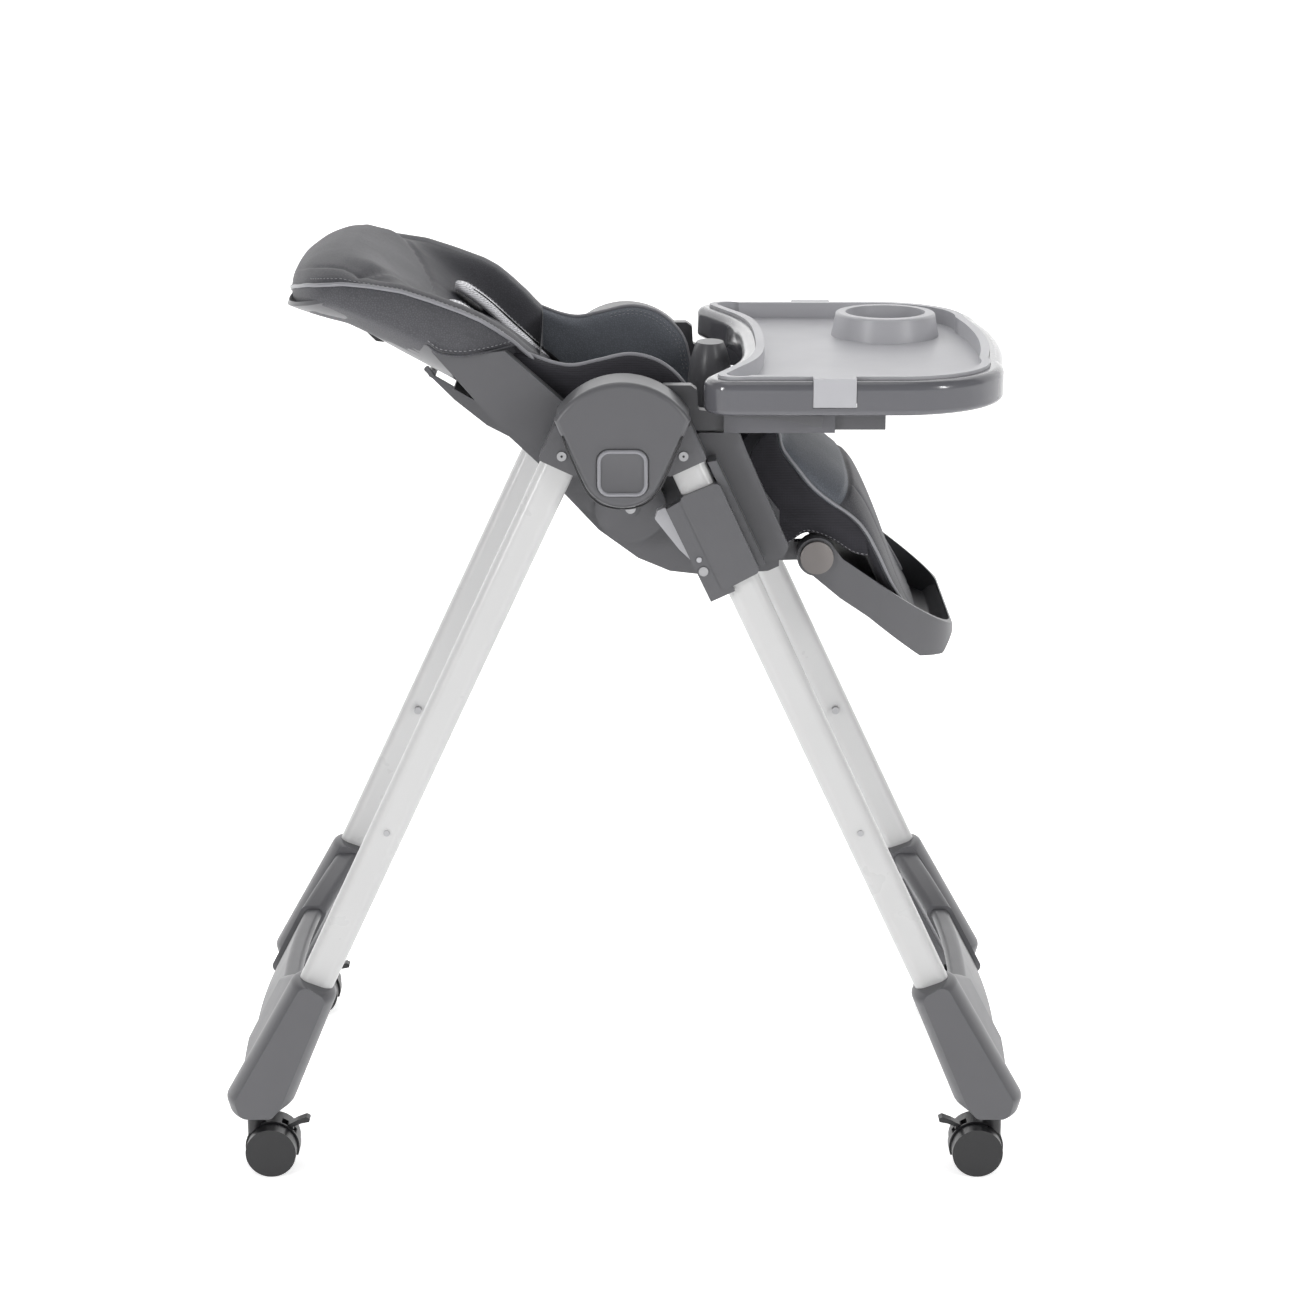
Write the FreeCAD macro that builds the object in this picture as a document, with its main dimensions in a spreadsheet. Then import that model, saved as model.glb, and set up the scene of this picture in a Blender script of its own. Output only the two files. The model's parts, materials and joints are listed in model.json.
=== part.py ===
import FreeCAD, Part
import math
import os
import Sketcher
from FreeCAD import Placement, Rotation, Vector

# A folding baby high chair on casters, modelled in millimetres.
# Origin: on the floor at the centre of the base. +X points to the tray, +Y to the sitter's left, +Z up.
# Right-hand pieces (at -Y) are modelled, and left-hand ones are their mirror images.

doc = FreeCAD.newDocument("HighChair")
sheet = doc.addObject("Spreadsheet::Sheet", "Sizes")

SIZES = {
    # legs
    "leg_lean": (25.0, "lean of a leg from the vertical, degrees"),
    "apex_height": (848.0, "height at which the front and rear leg axes cross"),
    "leg_plane": (210.0, "distance of a leg's axis from the middle plane"),
    "tube_depth": (34.0, "flat-oval leg tube, across the oval's long way"),
    "tube_width": (20.0, "flat-oval leg tube, across the chair"),
    "tube_wall": (1.5, "wall of the leg tube"),
    "tube_low": (120.0, "height of the tube's lower end, inside the foot"),
    "tube_high": (746.0, "height of the tube's upper end, inside the hub"),
    # feet and crossbars
    "foot_inner": (186.0, "inner side of a foot"),
    "foot_outer": (235.0, "outer side of a foot"),
    "foot_bottom": (62.0, "underside of a foot"),
    "beam_reach": (165.0, "how far a crossbar runs into the feet"),
    "arm_reach": (104.0, "where the foot's arm ends on the crossbar"),
    "socket_gap": (0.2, "play around a tube or beam in its socket"),
    # casters
    "wheel_radius": (25.0, "caster wheel"),
    "wheel_width": (15.5, "one disc of the twin wheel"),
    "wheel_spacing": (32.0, "between the middles of the two discs"),
    "wheel_reach": (351.0, "distance of a wheel's axle from the middle"),
    "stem_reach": (367.0, "distance of a caster's stem from the middle"),
    "stem_radius": (5.0, "caster stem"),
    "axle_radius": (3.0, "caster axle"),
    "hood_radius": (27.0, "caster hood round the wheels"),
    "hood_width": (14.0, "web of the caster between its wheels"),
    # hub
    "hub_height": (717.0, "height of the folding pivot"),
    "pivot_radius": (6.0, "folding pivot pin"),
    "running_gap": (0.05, "radial play of a turning fit"),
    "hub_disc": (33.0, "radius of the socket discs round the pivot"),
    "hub_inner": (196.0, "inner face of the rear socket"),
    "hub_middle": (209.6, "outer face of the rear socket's disc"),
    "hub_outer": (224.0, "outer face of the sockets"),
    "cover_back": (226.0, "back of the hub cover's plate"),
    "cover_face": (243.0, "face of the hub cover"),
    "dome_radius": (74.0, "outside of the hub cover's dome"),
    "dome_wall": (4.0, "wall of the dome"),
    "dome_lift": (11.0, "dome centre above the pivot"),
    "dome_back": (193.0, "inner edge of the dome"),
    "button_length": (48.0, "fold button, front to rear"),
    "button_height": (45.0, "fold button, top to bottom"),
    "button_back": (232.0, "inner face of the fold button"),
    "button_face": (244.5, "outer face of the fold button"),
    # seat
    "slider_gap": (0.4, "play of the slider on its tube"),
    "slider_top": (166.0, "slider's upper end, along the leg from the apex"),
    "slider_end": (266.0, "slider's lower end, along the leg from the apex"),
    "slider_outer": (227.0, "outer face of the slider"),
    "bracket_inner": (177.0, "inner face of the seat bracket"),
    "bracket_outer": (190.0, "outer face of the seat bracket"),
    "arm_inner": (174.0, "inner face of the armrest"),
    "arm_outer": (188.0, "outer face of the armrest"),
    "rail_front": (248.0, "front end of the tray rail"),
    "rail_low": (747.0, "underside of the tray rail"),
    "rail_high": (762.0, "top of the tray rail"),
    "shell_half": (149.0, "half the width of the seat shell"),
    "shell_wall": (4.0, "wall of the seat shell"),
    "wing_inner": (126.0, "inner face of a seat wing"),
    "seat_hinge_x": (7.0, "recline pivot, ahead of the middle"),
    "seat_hinge_z": (668.0, "recline pivot, height"),
    # backrest
    "cheek_inner": (152.0, "inner face of the backrest's cheek"),
    "cheek_outer": (170.0, "outer face of the backrest's cheek"),
    "boss_radius": (34.0, "boss round the recline pivot"),
    # leg rest
    "rest_pivot_x": (187.0, "leg rest pivot, ahead of the middle"),
    "rest_pivot_z": (614.0, "leg rest pivot, height"),
    "rest_half": (150.0, "half the width of the leg rest"),
    "rest_button": (16.0, "radius of the leg rest's side buttons"),
    # tray
    "tray_half": (235.0, "half the width of the tray"),
    "tray_rear": (75.0, "rear edge of the tray's horns"),
    "tray_front": (390.0, "front edge of the tray"),
    "tray_low": (769.0, "underside of the tray's rim"),
    "tray_deck": (784.0, "deck that the insert lies on"),
    "tray_rim": (801.0, "top of the tray's rim"),
    "cup_radius": (41.0, "cup holder, inside"),
    "cup_x": (268.0, "cup holder, ahead of the middle"),
    "cup_y": (105.0, "cup holder, to the left"),
}

for row, (alias, (value, note)) in enumerate(SIZES.items(), start=1):
    sheet.set("A%d" % row, note)
    sheet.set("B%d" % row, str(value))
    sheet.setAlias("B%d" % row, alias)
doc.recompute()

NODES = []


def size(alias):
    """A value read from the sheet."""
    return float(sheet.get(alias))


def bind(obj, **expressions):
    """Tie properties of an object to the sheet. Two underscores stand for a dot."""
    for name, expression in expressions.items():
        obj.setExpression(name.replace("__", "."), expression)
    return obj


def node(obj, label):
    """Hand an object in as a sub-part."""
    obj.Label = label
    NODES.append(obj)
    return obj


def attach(sketch, body, role):
    """Lay a sketch on one of its own body's origin planes."""
    plane = [f for f in body.Origin.OriginFeatures if f.Role == role][0]
    sketch.AttachmentSupport = (plane, [""])
    sketch.MapMode = "FlatFace"


def pin_point(sketch, line, end, coordinates):
    """Fix one point of a sketch line. A coordinate is a number or an expression."""
    for kind, value in zip(("DistanceX", "DistanceY"), coordinates):
        known = float(value) if not isinstance(value, str) else evaluate(value)
        index = sketch.addConstraint(Sketcher.Constraint(kind, -1, 1, line, end, known))
        if isinstance(value, str):
            name = "%s%d" % (kind[-1], line)
            sketch.renameConstraint(index, name)
            sketch.setExpression("Constraints." + name, value)


def evaluate(expression):
    """The number an expression over the sheet gives now."""
    return float(sheet.evalExpression(expression.replace("Sizes.", "")))


def polygon(sketch, points):
    """A closed outline of straight lines through points."""
    known = [tuple(evaluate(c) if isinstance(c, str) else float(c) for c in p) for p in points]
    first = sketch.GeometryCount
    count = len(points)
    for i in range(count):
        start = Vector(*known[i], 0)
        end = Vector(*known[(i + 1) % count], 0)
        sketch.addGeometry(Part.LineSegment(start, end), False)
    for i in range(count):
        following = first + (i + 1) % count
        sketch.addConstraint(Sketcher.Constraint("Coincident", first + i, 2, following, 1))
    for i in range(count):
        pin_point(sketch, first + i, 1, points[i])


def slot_outline(sketch, half_gap, radius):
    """A flat oval: two arcs, half_gap each side of the origin, joined by lines."""
    a, r = evaluate(half_gap), evaluate(radius)
    first = sketch.GeometryCount
    half = math.pi / 2
    right = Part.ArcOfCircle(Part.Circle(Vector(a, 0, 0), Vector(0, 0, 1), r), -half, half)
    left = Part.ArcOfCircle(Part.Circle(Vector(-a, 0, 0), Vector(0, 0, 1), r), half, 3 * half)
    top = Part.LineSegment(Vector(a, r, 0), Vector(-a, r, 0))
    low = Part.LineSegment(Vector(-a, -r, 0), Vector(a, -r, 0))
    sketch.addGeometry([right, top, left, low], False)
    for i in range(4):
        following = first + (i + 1) % 4
        sketch.addConstraint(Sketcher.Constraint("Tangent", first + i, 2, following, 1))
    sketch.addConstraint(Sketcher.Constraint("Equal", first, first + 2))
    for line, sign in ((first, ""), (first + 2, "-")):
        sketch.addConstraint(Sketcher.Constraint("PointOnObject", line, 3, -1))
        reach = -a if sign else a
        index = sketch.addConstraint(Sketcher.Constraint("DistanceX", -1, 1, line, 3, reach))
        sketch.renameConstraint(index, "reach%d" % line)
        sketch.setExpression("Constraints.reach%d" % line, sign + "(" + half_gap + ")")
    index = sketch.addConstraint(Sketcher.Constraint("Radius", first, r))
    sketch.renameConstraint(index, "round%d" % first)
    sketch.setExpression("Constraints.round%d" % first, radius)


def upright_edges(shape, direction):
    """Names of the straight edges that run along a direction."""
    names = []
    for i, edge in enumerate(shape.Edges, start=1):
        if edge.Curve.TypeId == "Part::GeomLine":
            if abs(edge.tangentAt(edge.FirstParameter).dot(direction)) > 0.999:
                names.append("Edge%d" % i)
    return names


def round_corners(body, feature, radius, direction):
    """Round a pad's corners, those that run along a direction."""
    doc.recompute()
    fillet = body.newObject("PartDesign::Fillet", body.Name + "_corners")
    fillet.Base = (feature, upright_edges(feature.Shape, direction))
    fillet.Radius = radius
    return fillet


def plate(name, outline, start, end, corner=0.0):
    """An outline in the XZ plane, padded outwards from start to end on the right side."""
    body = doc.addObject("PartDesign::Body", name)
    sketch = body.newObject("Sketcher::SketchObject", name + "_outline")
    attach(sketch, body, "XZ_Plane")
    polygon(sketch, outline)
    pad = body.newObject("PartDesign::Pad", name + "_pad")
    pad.Profile = sketch
    bind(pad, Length="%s - %s" % (end, start))
    if corner:
        round_corners(body, pad, corner, Vector(0, 1, 0))
    bind(body, Placement__Base__y="-(%s)" % start)
    return body


def cylinder(name, radius, length, centre, axis=Vector(0, 0, 1)):
    """A cylinder from a centre point along an axis. Sizes are expressions or numbers."""
    body = doc.addObject("Part::Cylinder", name)
    for prop, value in (("Radius", radius), ("Height", length)):
        if isinstance(value, str):
            body.setExpression(prop, value)
        else:
            setattr(body, prop, value)
    body.Placement = Placement(Vector(0, 0, 0), Rotation(Vector(0, 0, 1), axis))
    move(body, centre)
    return body


def box(name, low, high):
    """A box between two corners. Coordinates are expressions or numbers."""
    body = doc.addObject("Part::Box", name)
    for prop, a, b in zip(("Length", "Width", "Height"), low, high):
        body.setExpression(prop, "(%s) - (%s)" % (b, a))
    move(body, low)
    return body


def move(body, place):
    """Put an object's base at a place, tied to the sheet where a coordinate is an expression."""
    base = Vector(*[evaluate(c) if isinstance(c, str) else c for c in place])
    body.Placement = Placement(base, body.Placement.Rotation)
    for letter, value in zip("xyz", place):
        if isinstance(value, str):
            body.setExpression("Placement.Base." + letter, value)


def fuse(name, *shapes):
    obj = doc.addObject("Part::MultiFuse", name)
    obj.Shapes = list(shapes)
    obj.Refine = True
    return obj


def cut(name, base, *tools):
    obj = doc.addObject("Part::Cut", name)
    obj.Base = base
    obj.Tool = tools[0] if len(tools) == 1 else fuse(name + "_tools", *tools)
    return obj


def common(name, *shapes):
    """What several shapes share."""
    obj = doc.addObject("Part::MultiCommon", name)
    obj.Shapes = list(shapes)
    return obj


def group(name, *shapes):
    """Several separate solids in one node."""
    obj = doc.addObject("Part::Compound", name)
    obj.Links = list(shapes)
    return obj


def mirror(source, name, normal=Vector(0, 1, 0)):
    obj = doc.addObject("Part::Mirroring", name)
    obj.Source = source
    obj.Base = Vector(0, 0, 0)
    obj.Normal = normal
    return obj


def feature(name, shape):
    """A free-form solid, made with Part's own functions."""
    obj = doc.addObject("Part::Feature", name)
    obj.Shape = shape
    return obj


def both_sides(right, name):
    """Hand in a right-hand piece and its mirror image."""
    node(right, name + "_right")
    node(mirror(right, name + "_left_mirror"), name + "_left")


def rounded_wire(points, radius, y):
    """A closed outline at one Y, with its corners rounded. Points are (x, z)."""
    corners = [Vector(x, y, z) for x, z in points]
    edges, count = [], len(corners)
    starts, ends = [], []
    for i in range(count):
        here, before, after = corners[i], corners[i - 1], corners[(i + 1) % count]
        into = (before - here).normalize()
        out = (after - here).normalize()
        turn = into.getAngle(out)
        run = min(radius / math.tan(turn / 2), 0.45 * (before - here).Length, 0.45 * (after - here).Length)
        inner = run * math.tan(turn / 2)
        middle = (into + out).normalize()
        reach = inner / math.sin(turn / 2) - inner
        starts.append(here + into * run)
        ends.append(here + out * run)
        edges.append(Part.Arc(starts[-1], here + middle * reach, ends[-1]).toShape())
    for i in range(count):
        edges.append(Part.makeLine(ends[i], starts[(i + 1) % count]))
    return Part.Wire(Part.__sortEdges__(edges))


def loft(name, wires, ruled=False):
    shape = Part.makeLoft(wires, True, ruled)
    return feature(name, shape)


# ---- legs, feet, crossbars and casters ----

lean = math.radians(size("leg_lean"))
slope = math.tan(lean)
apex = size("apex_height")
leg_y = size("leg_plane")
SPREAD = "(Sizes.apex_height - %s) * tan(Sizes.leg_lean)"


def along_leg(s, p):
    """X and Z of a point s down the front leg from the apex and p ahead of its axis."""
    return (s * math.sin(lean) + p * math.cos(lean), apex - s * math.cos(lean) + p * math.sin(lean))


def leg_tube(name):
    """The front right leg tube: a hollow flat oval."""
    body = doc.addObject("PartDesign::Body", name)
    sketch = body.newObject("Sketcher::SketchObject", name + "_section")
    attach(sketch, body, "XY_Plane")
    half_gap = "(Sizes.tube_depth - Sizes.tube_width) / 2"
    slot_outline(sketch, half_gap, "Sizes.tube_width / 2")
    slot_outline(sketch, half_gap, "Sizes.tube_width / 2 - Sizes.tube_wall")
    pad = body.newObject("PartDesign::Pad", name + "_pad")
    pad.Profile = sketch
    bind(pad, Length="(Sizes.tube_high - Sizes.tube_low) / cos(Sizes.leg_lean)")
    body.Placement = Placement(Vector(0, 0, 0), Rotation(Vector(0, 1, 0), -size("leg_lean")))
    move(body, (SPREAD % "Sizes.tube_low", "-Sizes.leg_plane", "Sizes.tube_low"))
    return body


def leg_space(name, low, high, gap):
    """The solid space a tube takes, with play, for cutting sockets."""
    body = doc.addObject("PartDesign::Body", name)
    sketch = body.newObject("Sketcher::SketchObject", name + "_section")
    attach(sketch, body, "XY_Plane")
    half_gap = "(Sizes.tube_depth - Sizes.tube_width) / 2"
    slot_outline(sketch, half_gap, "Sizes.tube_width / 2 + " + gap)
    pad = body.newObject("PartDesign::Pad", name + "_pad")
    pad.Profile = sketch
    bind(pad, Length="(%s - %s) / cos(Sizes.leg_lean)" % (high, low))
    body.Placement = Placement(Vector(0, 0, 0), Rotation(Vector(0, 1, 0), -size("leg_lean")))
    move(body, (SPREAD % low, "-Sizes.leg_plane", low))
    return body


def front_and_rear(front, name):
    """Hand in a front right piece, its left twin, and the same for the rear."""
    both_sides(front, "front_" + name)
    rear = mirror(front, "rear_" + name + "_base", Vector(1, 0, 0))
    both_sides(rear, "rear_" + name)


front_and_rear(leg_tube("tube"), "leg_tube")

# The crossbar's outline at a distance y from the middle: outer and inner edge, top and bottom.
BEAM_TOP, BEAM_BOTTOM, BEAM_THICK = 158.0, 88.0, 20.0
BEAM_BOW = 12.0


def foot_line(z):
    """X of a foot's outer edge at a height: it leans more than the tube does."""
    return 319.0 + (204.0 - z) * 74.0 / 129.0


def beam_wire(y, grow, radius=7.0):
    """One section of the bowed crossbar."""
    bow = BEAM_BOW * (1.0 - (abs(y) / size("foot_inner")) ** 2)
    top, low = BEAM_TOP + grow, BEAM_BOTTOM - grow
    inner = BEAM_THICK + grow
    points = [
        (foot_line(top) + bow - 6.0 + grow, top),
        (foot_line(low) + bow - 10.0 + grow, low),
        (foot_line(low) + bow - 10.0 - inner, low),
        (foot_line(top) + bow - 6.0 - inner, top),
    ]
    return rounded_wire(points, radius, y)


reach, arm = size("beam_reach"), size("arm_reach")
beam = loft("front_beam", [beam_wire(y, 0.0) for y in (-reach, -reach / 2, 0.0, reach / 2, reach)])
beam_space = loft("beam_space", [beam_wire(y, size("socket_gap")) for y in (-reach, -reach / 2, 0.0)])
node(beam, "front_crossbar")
node(mirror(beam, "rear_beam", Vector(1, 0, 0)), "rear_crossbar")


def foot_wire(y, inset, radius=9.0):
    """The foot's side outline: wider at the bottom, square to the tube at the rim."""
    points = [
        (319.5 - inset, 205.0 - inset * 0.2),
        (foot_line(80.0) - inset, 80.0),
        (385.0 - inset, size("foot_bottom")),
        (349.0, size("foot_bottom")),
        (334.0 + inset, 75.0),
        (286.0 + inset, 190.5 - inset * 0.2),
    ]
    return rounded_wire(points, radius, y)


def arm_wire(y, t, radius=9.0):
    """A section of the foot's arm over the crossbar; t runs from 0 at the foot to 1 at its end."""
    bow = BEAM_BOW * (1.0 - (abs(y) / size("foot_inner")) ** 2)
    top = 196.0 + (BEAM_TOP + 4.0 - 196.0) * t
    low = 70.0 + (BEAM_BOTTOM - 4.0 - 70.0) * t
    skin = 4.0
    thick = BEAM_THICK + 2 * skin + 4.0 * (1.0 - t)
    points = [
        (foot_line(top) + bow - 4.0 + skin * t, top),
        (foot_line(low) + bow - 6.0 + skin * t * 0.5, low),
        (foot_line(low) + bow - 10.0 - thick + skin, low),
        (foot_line(top) + bow - 6.0 - thick + skin, top),
    ]
    return rounded_wire(points, radius, y)


inner, outer = size("foot_inner"), size("foot_outer")
foot_block = loft("foot_block", [
    foot_wire(-inner, 3.0), foot_wire(-inner - 4.0, 0.0), foot_wire(-outer + 6.0, 0.0), foot_wire(-outer,
            5.0)])
foot_arm = loft("foot_arm", [arm_wire(-inner - 8.0, 0.0), arm_wire(-(inner + arm) / 2, 0.45),
                             arm_wire(-arm, 1.0)])
stem_bore = cylinder("stem_bore", "Sizes.stem_radius + Sizes.running_gap", 18.0,
                     ("Sizes.stem_reach", "-Sizes.leg_plane", "Sizes.foot_bottom - 2"))
foot_socket = leg_space("foot_socket", "Sizes.tube_low", "Sizes.tube_high", "Sizes.socket_gap")
foot = cut("foot", fuse("foot_shape", foot_block, foot_arm), foot_socket, beam_space, stem_bore)
front_and_rear(foot, "foot")


def caster(corner, sign_x, sign_y):
    """One twin-wheel caster: hood with stem, wheels on their axle, and the brake lever."""
    wheel_x = "%d * Sizes.wheel_reach" % sign_x
    stem_x = "%d * Sizes.stem_reach" % sign_x
    middle = "%d * Sizes.leg_plane" % sign_y
    across = Vector(0, 1, 0)
    # the hood: a disc between the wheels, squared up to the stem
    disc = cylinder(corner + "_disc", "Sizes.hood_radius", "Sizes.hood_width",
                    (wheel_x, middle + " - Sizes.hood_width / 2", "Sizes.wheel_radius"), across)
    boss = cylinder(corner + "_boss", 9.0, 22.0, (stem_x, middle, 34.0))
    below = box(corner + "_below", (wheel_x + " - 40", middle + " - 30", -40.0),
                (wheel_x + " + 40", middle + " + 30", 16.0))
    spare = cylinder(corner + "_axle_bore", "Sizes.axle_radius + Sizes.running_gap", 60.0,
                     (wheel_x, middle + " - 30", "Sizes.wheel_radius"), across)
    clear = [cylinder("%s_clear%d" % (corner, side), "Sizes.wheel_radius + 0.6", 40.0,
                      (wheel_x, middle + " %s (Sizes.hood_width / 2 + %d)" % ("-+"[side > 0],
                              40 * (side < 0)),
                       "Sizes.wheel_radius"), across) for side in (-1, 1)]
    lever_x = "%s - %d * 17" % (wheel_x, sign_x)
    notch = box(corner + "_notch", (lever_x + " - 7.5", middle + " - 5.3", 38.0),
                (lever_x + " + 7.5", middle + " + 5.3", 60.0))
    lever_bore = cylinder(corner + "_lever_bore", 1.55, 40.0, (lever_x, middle + " - 20", 43.0), across)
    stem = cylinder(corner + "_stem", "Sizes.stem_radius", 21.0, (stem_x, middle, 55.0))
    hood = cut(corner + "_hood", fuse(corner + "_hood_shape", disc, boss), below, spare, notch, lever_bore,
               *clear)
    node(fuse(corner + "_housing", hood, stem), "caster_housing_" + corner)
    # two discs on one axle
    discs = []
    for side in (-1, 1):
        start = "%s + %d * Sizes.wheel_spacing / 2 - Sizes.wheel_width / 2" % (middle, side)
        discs.append(cylinder("%s_wheel%d" % (corner, side + 1), "Sizes.wheel_radius", "Sizes.wheel_width",
                              (wheel_x, start, "Sizes.wheel_radius"), across))
    axle = cylinder(corner + "_axle", "Sizes.axle_radius", "Sizes.wheel_spacing",
                    (wheel_x, middle + " - Sizes.wheel_spacing / 2", "Sizes.wheel_radius"), across)
    node(fuse(corner + "_wheels", axle, *discs), "caster_wheels_" + corner)
    # the brake lever, on its own pin, pointing under the chair
    pin = cylinder(corner + "_lever_pin", 1.5, "Sizes.hood_width",
                   (lever_x, middle + " - Sizes.hood_width / 2", 43.0), across)
    hub = cylinder(corner + "_lever_hub", 4.2, 10.0, (lever_x, middle + " - 5", 43.0), across)
    pedal = blade_at(corner, lever_x, middle, sign_x)
    node(fuse(corner + "_brake", pin, hub, pedal), "caster_brake_" + corner)


def blade_at(corner, lever_x, middle, sign_x):
    """The pedal of a brake lever, rising towards the middle of the chair."""
    outline = [(-2.0, 0.0), (12.0, 6.0), (20.0, 7.5), (21.0, 11.0), (17.0, 13.0), (8.0, 9.5), (-2.0, 4.0)]
    centre_x = evaluate(lever_x)
    y = evaluate(middle)
    wires = [rounded_wire([(centre_x - sign_x * x, 43.0 + z) for x, z in outline], 1.5, y + side * 5.0)
             for side in (-1, 1)]
    return loft(corner + "_pedal", wires, True)


for end, sign_x in (("front", 1), ("rear", -1)):
    for side, sign_y in (("left", 1), ("right", -1)):
        caster("%s_%s" % (end, side), sign_x, sign_y)


# ---- folding hubs ----

ACROSS = Vector(0, 1, 0)
pivot_z = size("hub_height")


def across_cylinder(name, radius, start, end, x, z):
    """A cylinder across the chair on the right side, from start out to end."""
    return cylinder(name, radius, "(%s) - (%s)" % (end, start), (x, "-(%s)" % end, z), ACROSS)


def socket(name, disc_start, disc_end):
    """A tube socket for the front right leg, with a disc round the pivot."""
    top_s = (apex - 750.0) / math.cos(lean)
    mouth_s = (apex - 717.0) / math.cos(lean)
    corners = [along_leg(top_s, -20.0), along_leg(top_s, 20.0), along_leg(mouth_s, 20.0),
               along_leg(mouth_s, -20.0)]
    arm = plate(name + "_arm", corners, "Sizes.hub_inner", "Sizes.hub_outer", 3.0)
    disc = across_cylinder(name + "_disc", "Sizes.hub_disc", disc_start, disc_end, "0", "Sizes.hub_height")
    web_points = [(8.0, pivot_z + 30.0), (38.0, pivot_z + 30.0), (46.0, pivot_z + 4.0),
                  (30.0, pivot_z - 12.0), (12.0, pivot_z - 28.0)]
    web = plate(name + "_web", web_points, disc_start, disc_end)
    return fuse(name + "_shape", arm, disc, web)


front_socket = socket("front_socket", "Sizes.hub_middle + 0.4", "Sizes.hub_outer")
rear_socket = mirror(socket("rear_socket_base", "Sizes.hub_inner", "Sizes.hub_middle"),
                     "rear_socket_turned", Vector(1, 0, 0))
hub_space = leg_space("hub_space", "Sizes.tube_low", "Sizes.tube_high + 0.5", "Sizes.socket_gap")
rear_space = mirror(hub_space, "rear_hub_space", Vector(1, 0, 0))
front_bore = across_cylinder("front_bore", "Sizes.pivot_radius", "Sizes.hub_inner - 5",
                             "Sizes.hub_outer + 5", "0", "Sizes.hub_height")
rear_bore = across_cylinder("rear_bore", "Sizes.pivot_radius + Sizes.running_gap", "Sizes.hub_inner - 5",
                            "Sizes.hub_outer + 5", "0", "Sizes.hub_height")
both_sides(cut("front_socket", front_socket, hub_space, front_bore), "hub_front_socket")
both_sides(cut("rear_socket", rear_socket, rear_space, rear_bore), "hub_rear_socket")


def ring_sector(name, radius, wall, start, end, low, high):
    """Part of a ring across the chair about the dome's centre, between two angles in degrees."""
    centre = Vector(0, 0, pivot_z + size("dome_lift"))
    wires = []
    for y in (-start, -end):
        a, b, middle = math.radians(low), math.radians(high), math.radians((low + high) / 2)

        def at(r, angle):
            return centre + Vector(r * math.cos(angle), y, r * math.sin(angle))

        outer_arc = Part.Arc(at(radius, a), at(radius, middle), at(radius, b)).toShape()
        inner_arc = Part.Arc(at(radius - wall, a), at(radius - wall, middle),
                             at(radius - wall, b)).toShape()
        ends = [Part.makeLine(at(radius, a), at(radius - wall, a)),
                Part.makeLine(at(radius, b), at(radius - wall, b))]
        wires.append(Part.Wire(Part.__sortEdges__([outer_arc, inner_arc] + ends)))
    return feature(name, Part.makeLoft(wires, True, True))


def cover_outline(y):
    """The hub cover: a dome above, and a shield with a round bottom below."""
    centre_z = pivot_z + size("dome_lift")
    r = size("dome_radius")
    low = math.radians(31.0)
    left, right = [Vector(s * r * math.cos(low), y, centre_z + r * math.sin(low)) for s in (-1, 1)]
    top = Vector(0, y, centre_z + r)
    shoulder = [Vector(s * 57.0, y, pivot_z + 34.0) for s in (-1, 1)]
    hip = [Vector(s * 35.0, y, pivot_z - 13.0) for s in (-1, 1)]
    bottom = Vector(0, y, pivot_z - 34.0)
    edges = [Part.Arc(left, top, right).toShape(), Part.Arc(hip[1], bottom, hip[0]).toShape()]
    edges += [Part.makeLine(right, shoulder[1]), Part.makeLine(shoulder[1], hip[1])]
    edges += [Part.makeLine(hip[0], shoulder[0]), Part.makeLine(shoulder[0], left)]
    return Part.Wire(Part.__sortEdges__(edges))


def rounded_face(shape, y, radius):
    """Round every edge that lies in the plane at y."""
    rim = [e for e in shape.Edges if e.BoundBox.YMin > y - 0.01 and e.BoundBox.YMax < y + 0.01]
    return shape.makeFillet(radius, rim)


face_y, plate_y = -size("cover_face"), -size("cover_back")
cover_plate = Part.Face(cover_outline(plate_y)).extrude(Vector(0, face_y - plate_y, 0))
cover_plate = feature("cover_plate", rounded_face(cover_plate, face_y, 5.0))
dome = ring_sector("dome", size("dome_radius"), size("dome_wall"), size("dome_back"),
                   size("cover_back") + 6.0, 33.0, 147.0)


def button_block(name, start, end, gap, corner):
    """The rounded-square fold button, or the hole for it."""
    half_x, half_z = "(Sizes.button_length / 2 + %g)" % gap, "(Sizes.button_height / 2 + %g)" % gap
    outline = [("-" + half_x, "Sizes.hub_height - " + half_z), (half_x, "Sizes.hub_height - " + half_z),
               (half_x, "Sizes.hub_height + " + half_z), ("-" + half_x, "Sizes.hub_height + " + half_z)]
    return plate(name, outline, start, end, corner)


button_hole = button_block("button_hole", "Sizes.cover_back - 1", "Sizes.cover_face + 5", 0.5, 12.5)
both_sides(cut("hub_cover", fuse("hub_cover_shape", cover_plate, dome), button_hole), "hub_cover")

button = button_block("button", "Sizes.button_back", "Sizes.button_face", 0.0, 12.0)
spring_well = across_cylinder("spring_well", 10.0, "Sizes.button_back - 1", "Sizes.button_face - 3", "0",
                              "Sizes.hub_height")
hollow_face = feature("hollow_face", Part.makeSphere(180.0, Vector(0, -size("button_face") - 178.2,
                                                                   pivot_z)))
both_sides(cut("fold_button", button, spring_well, hollow_face), "fold_button")


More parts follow.
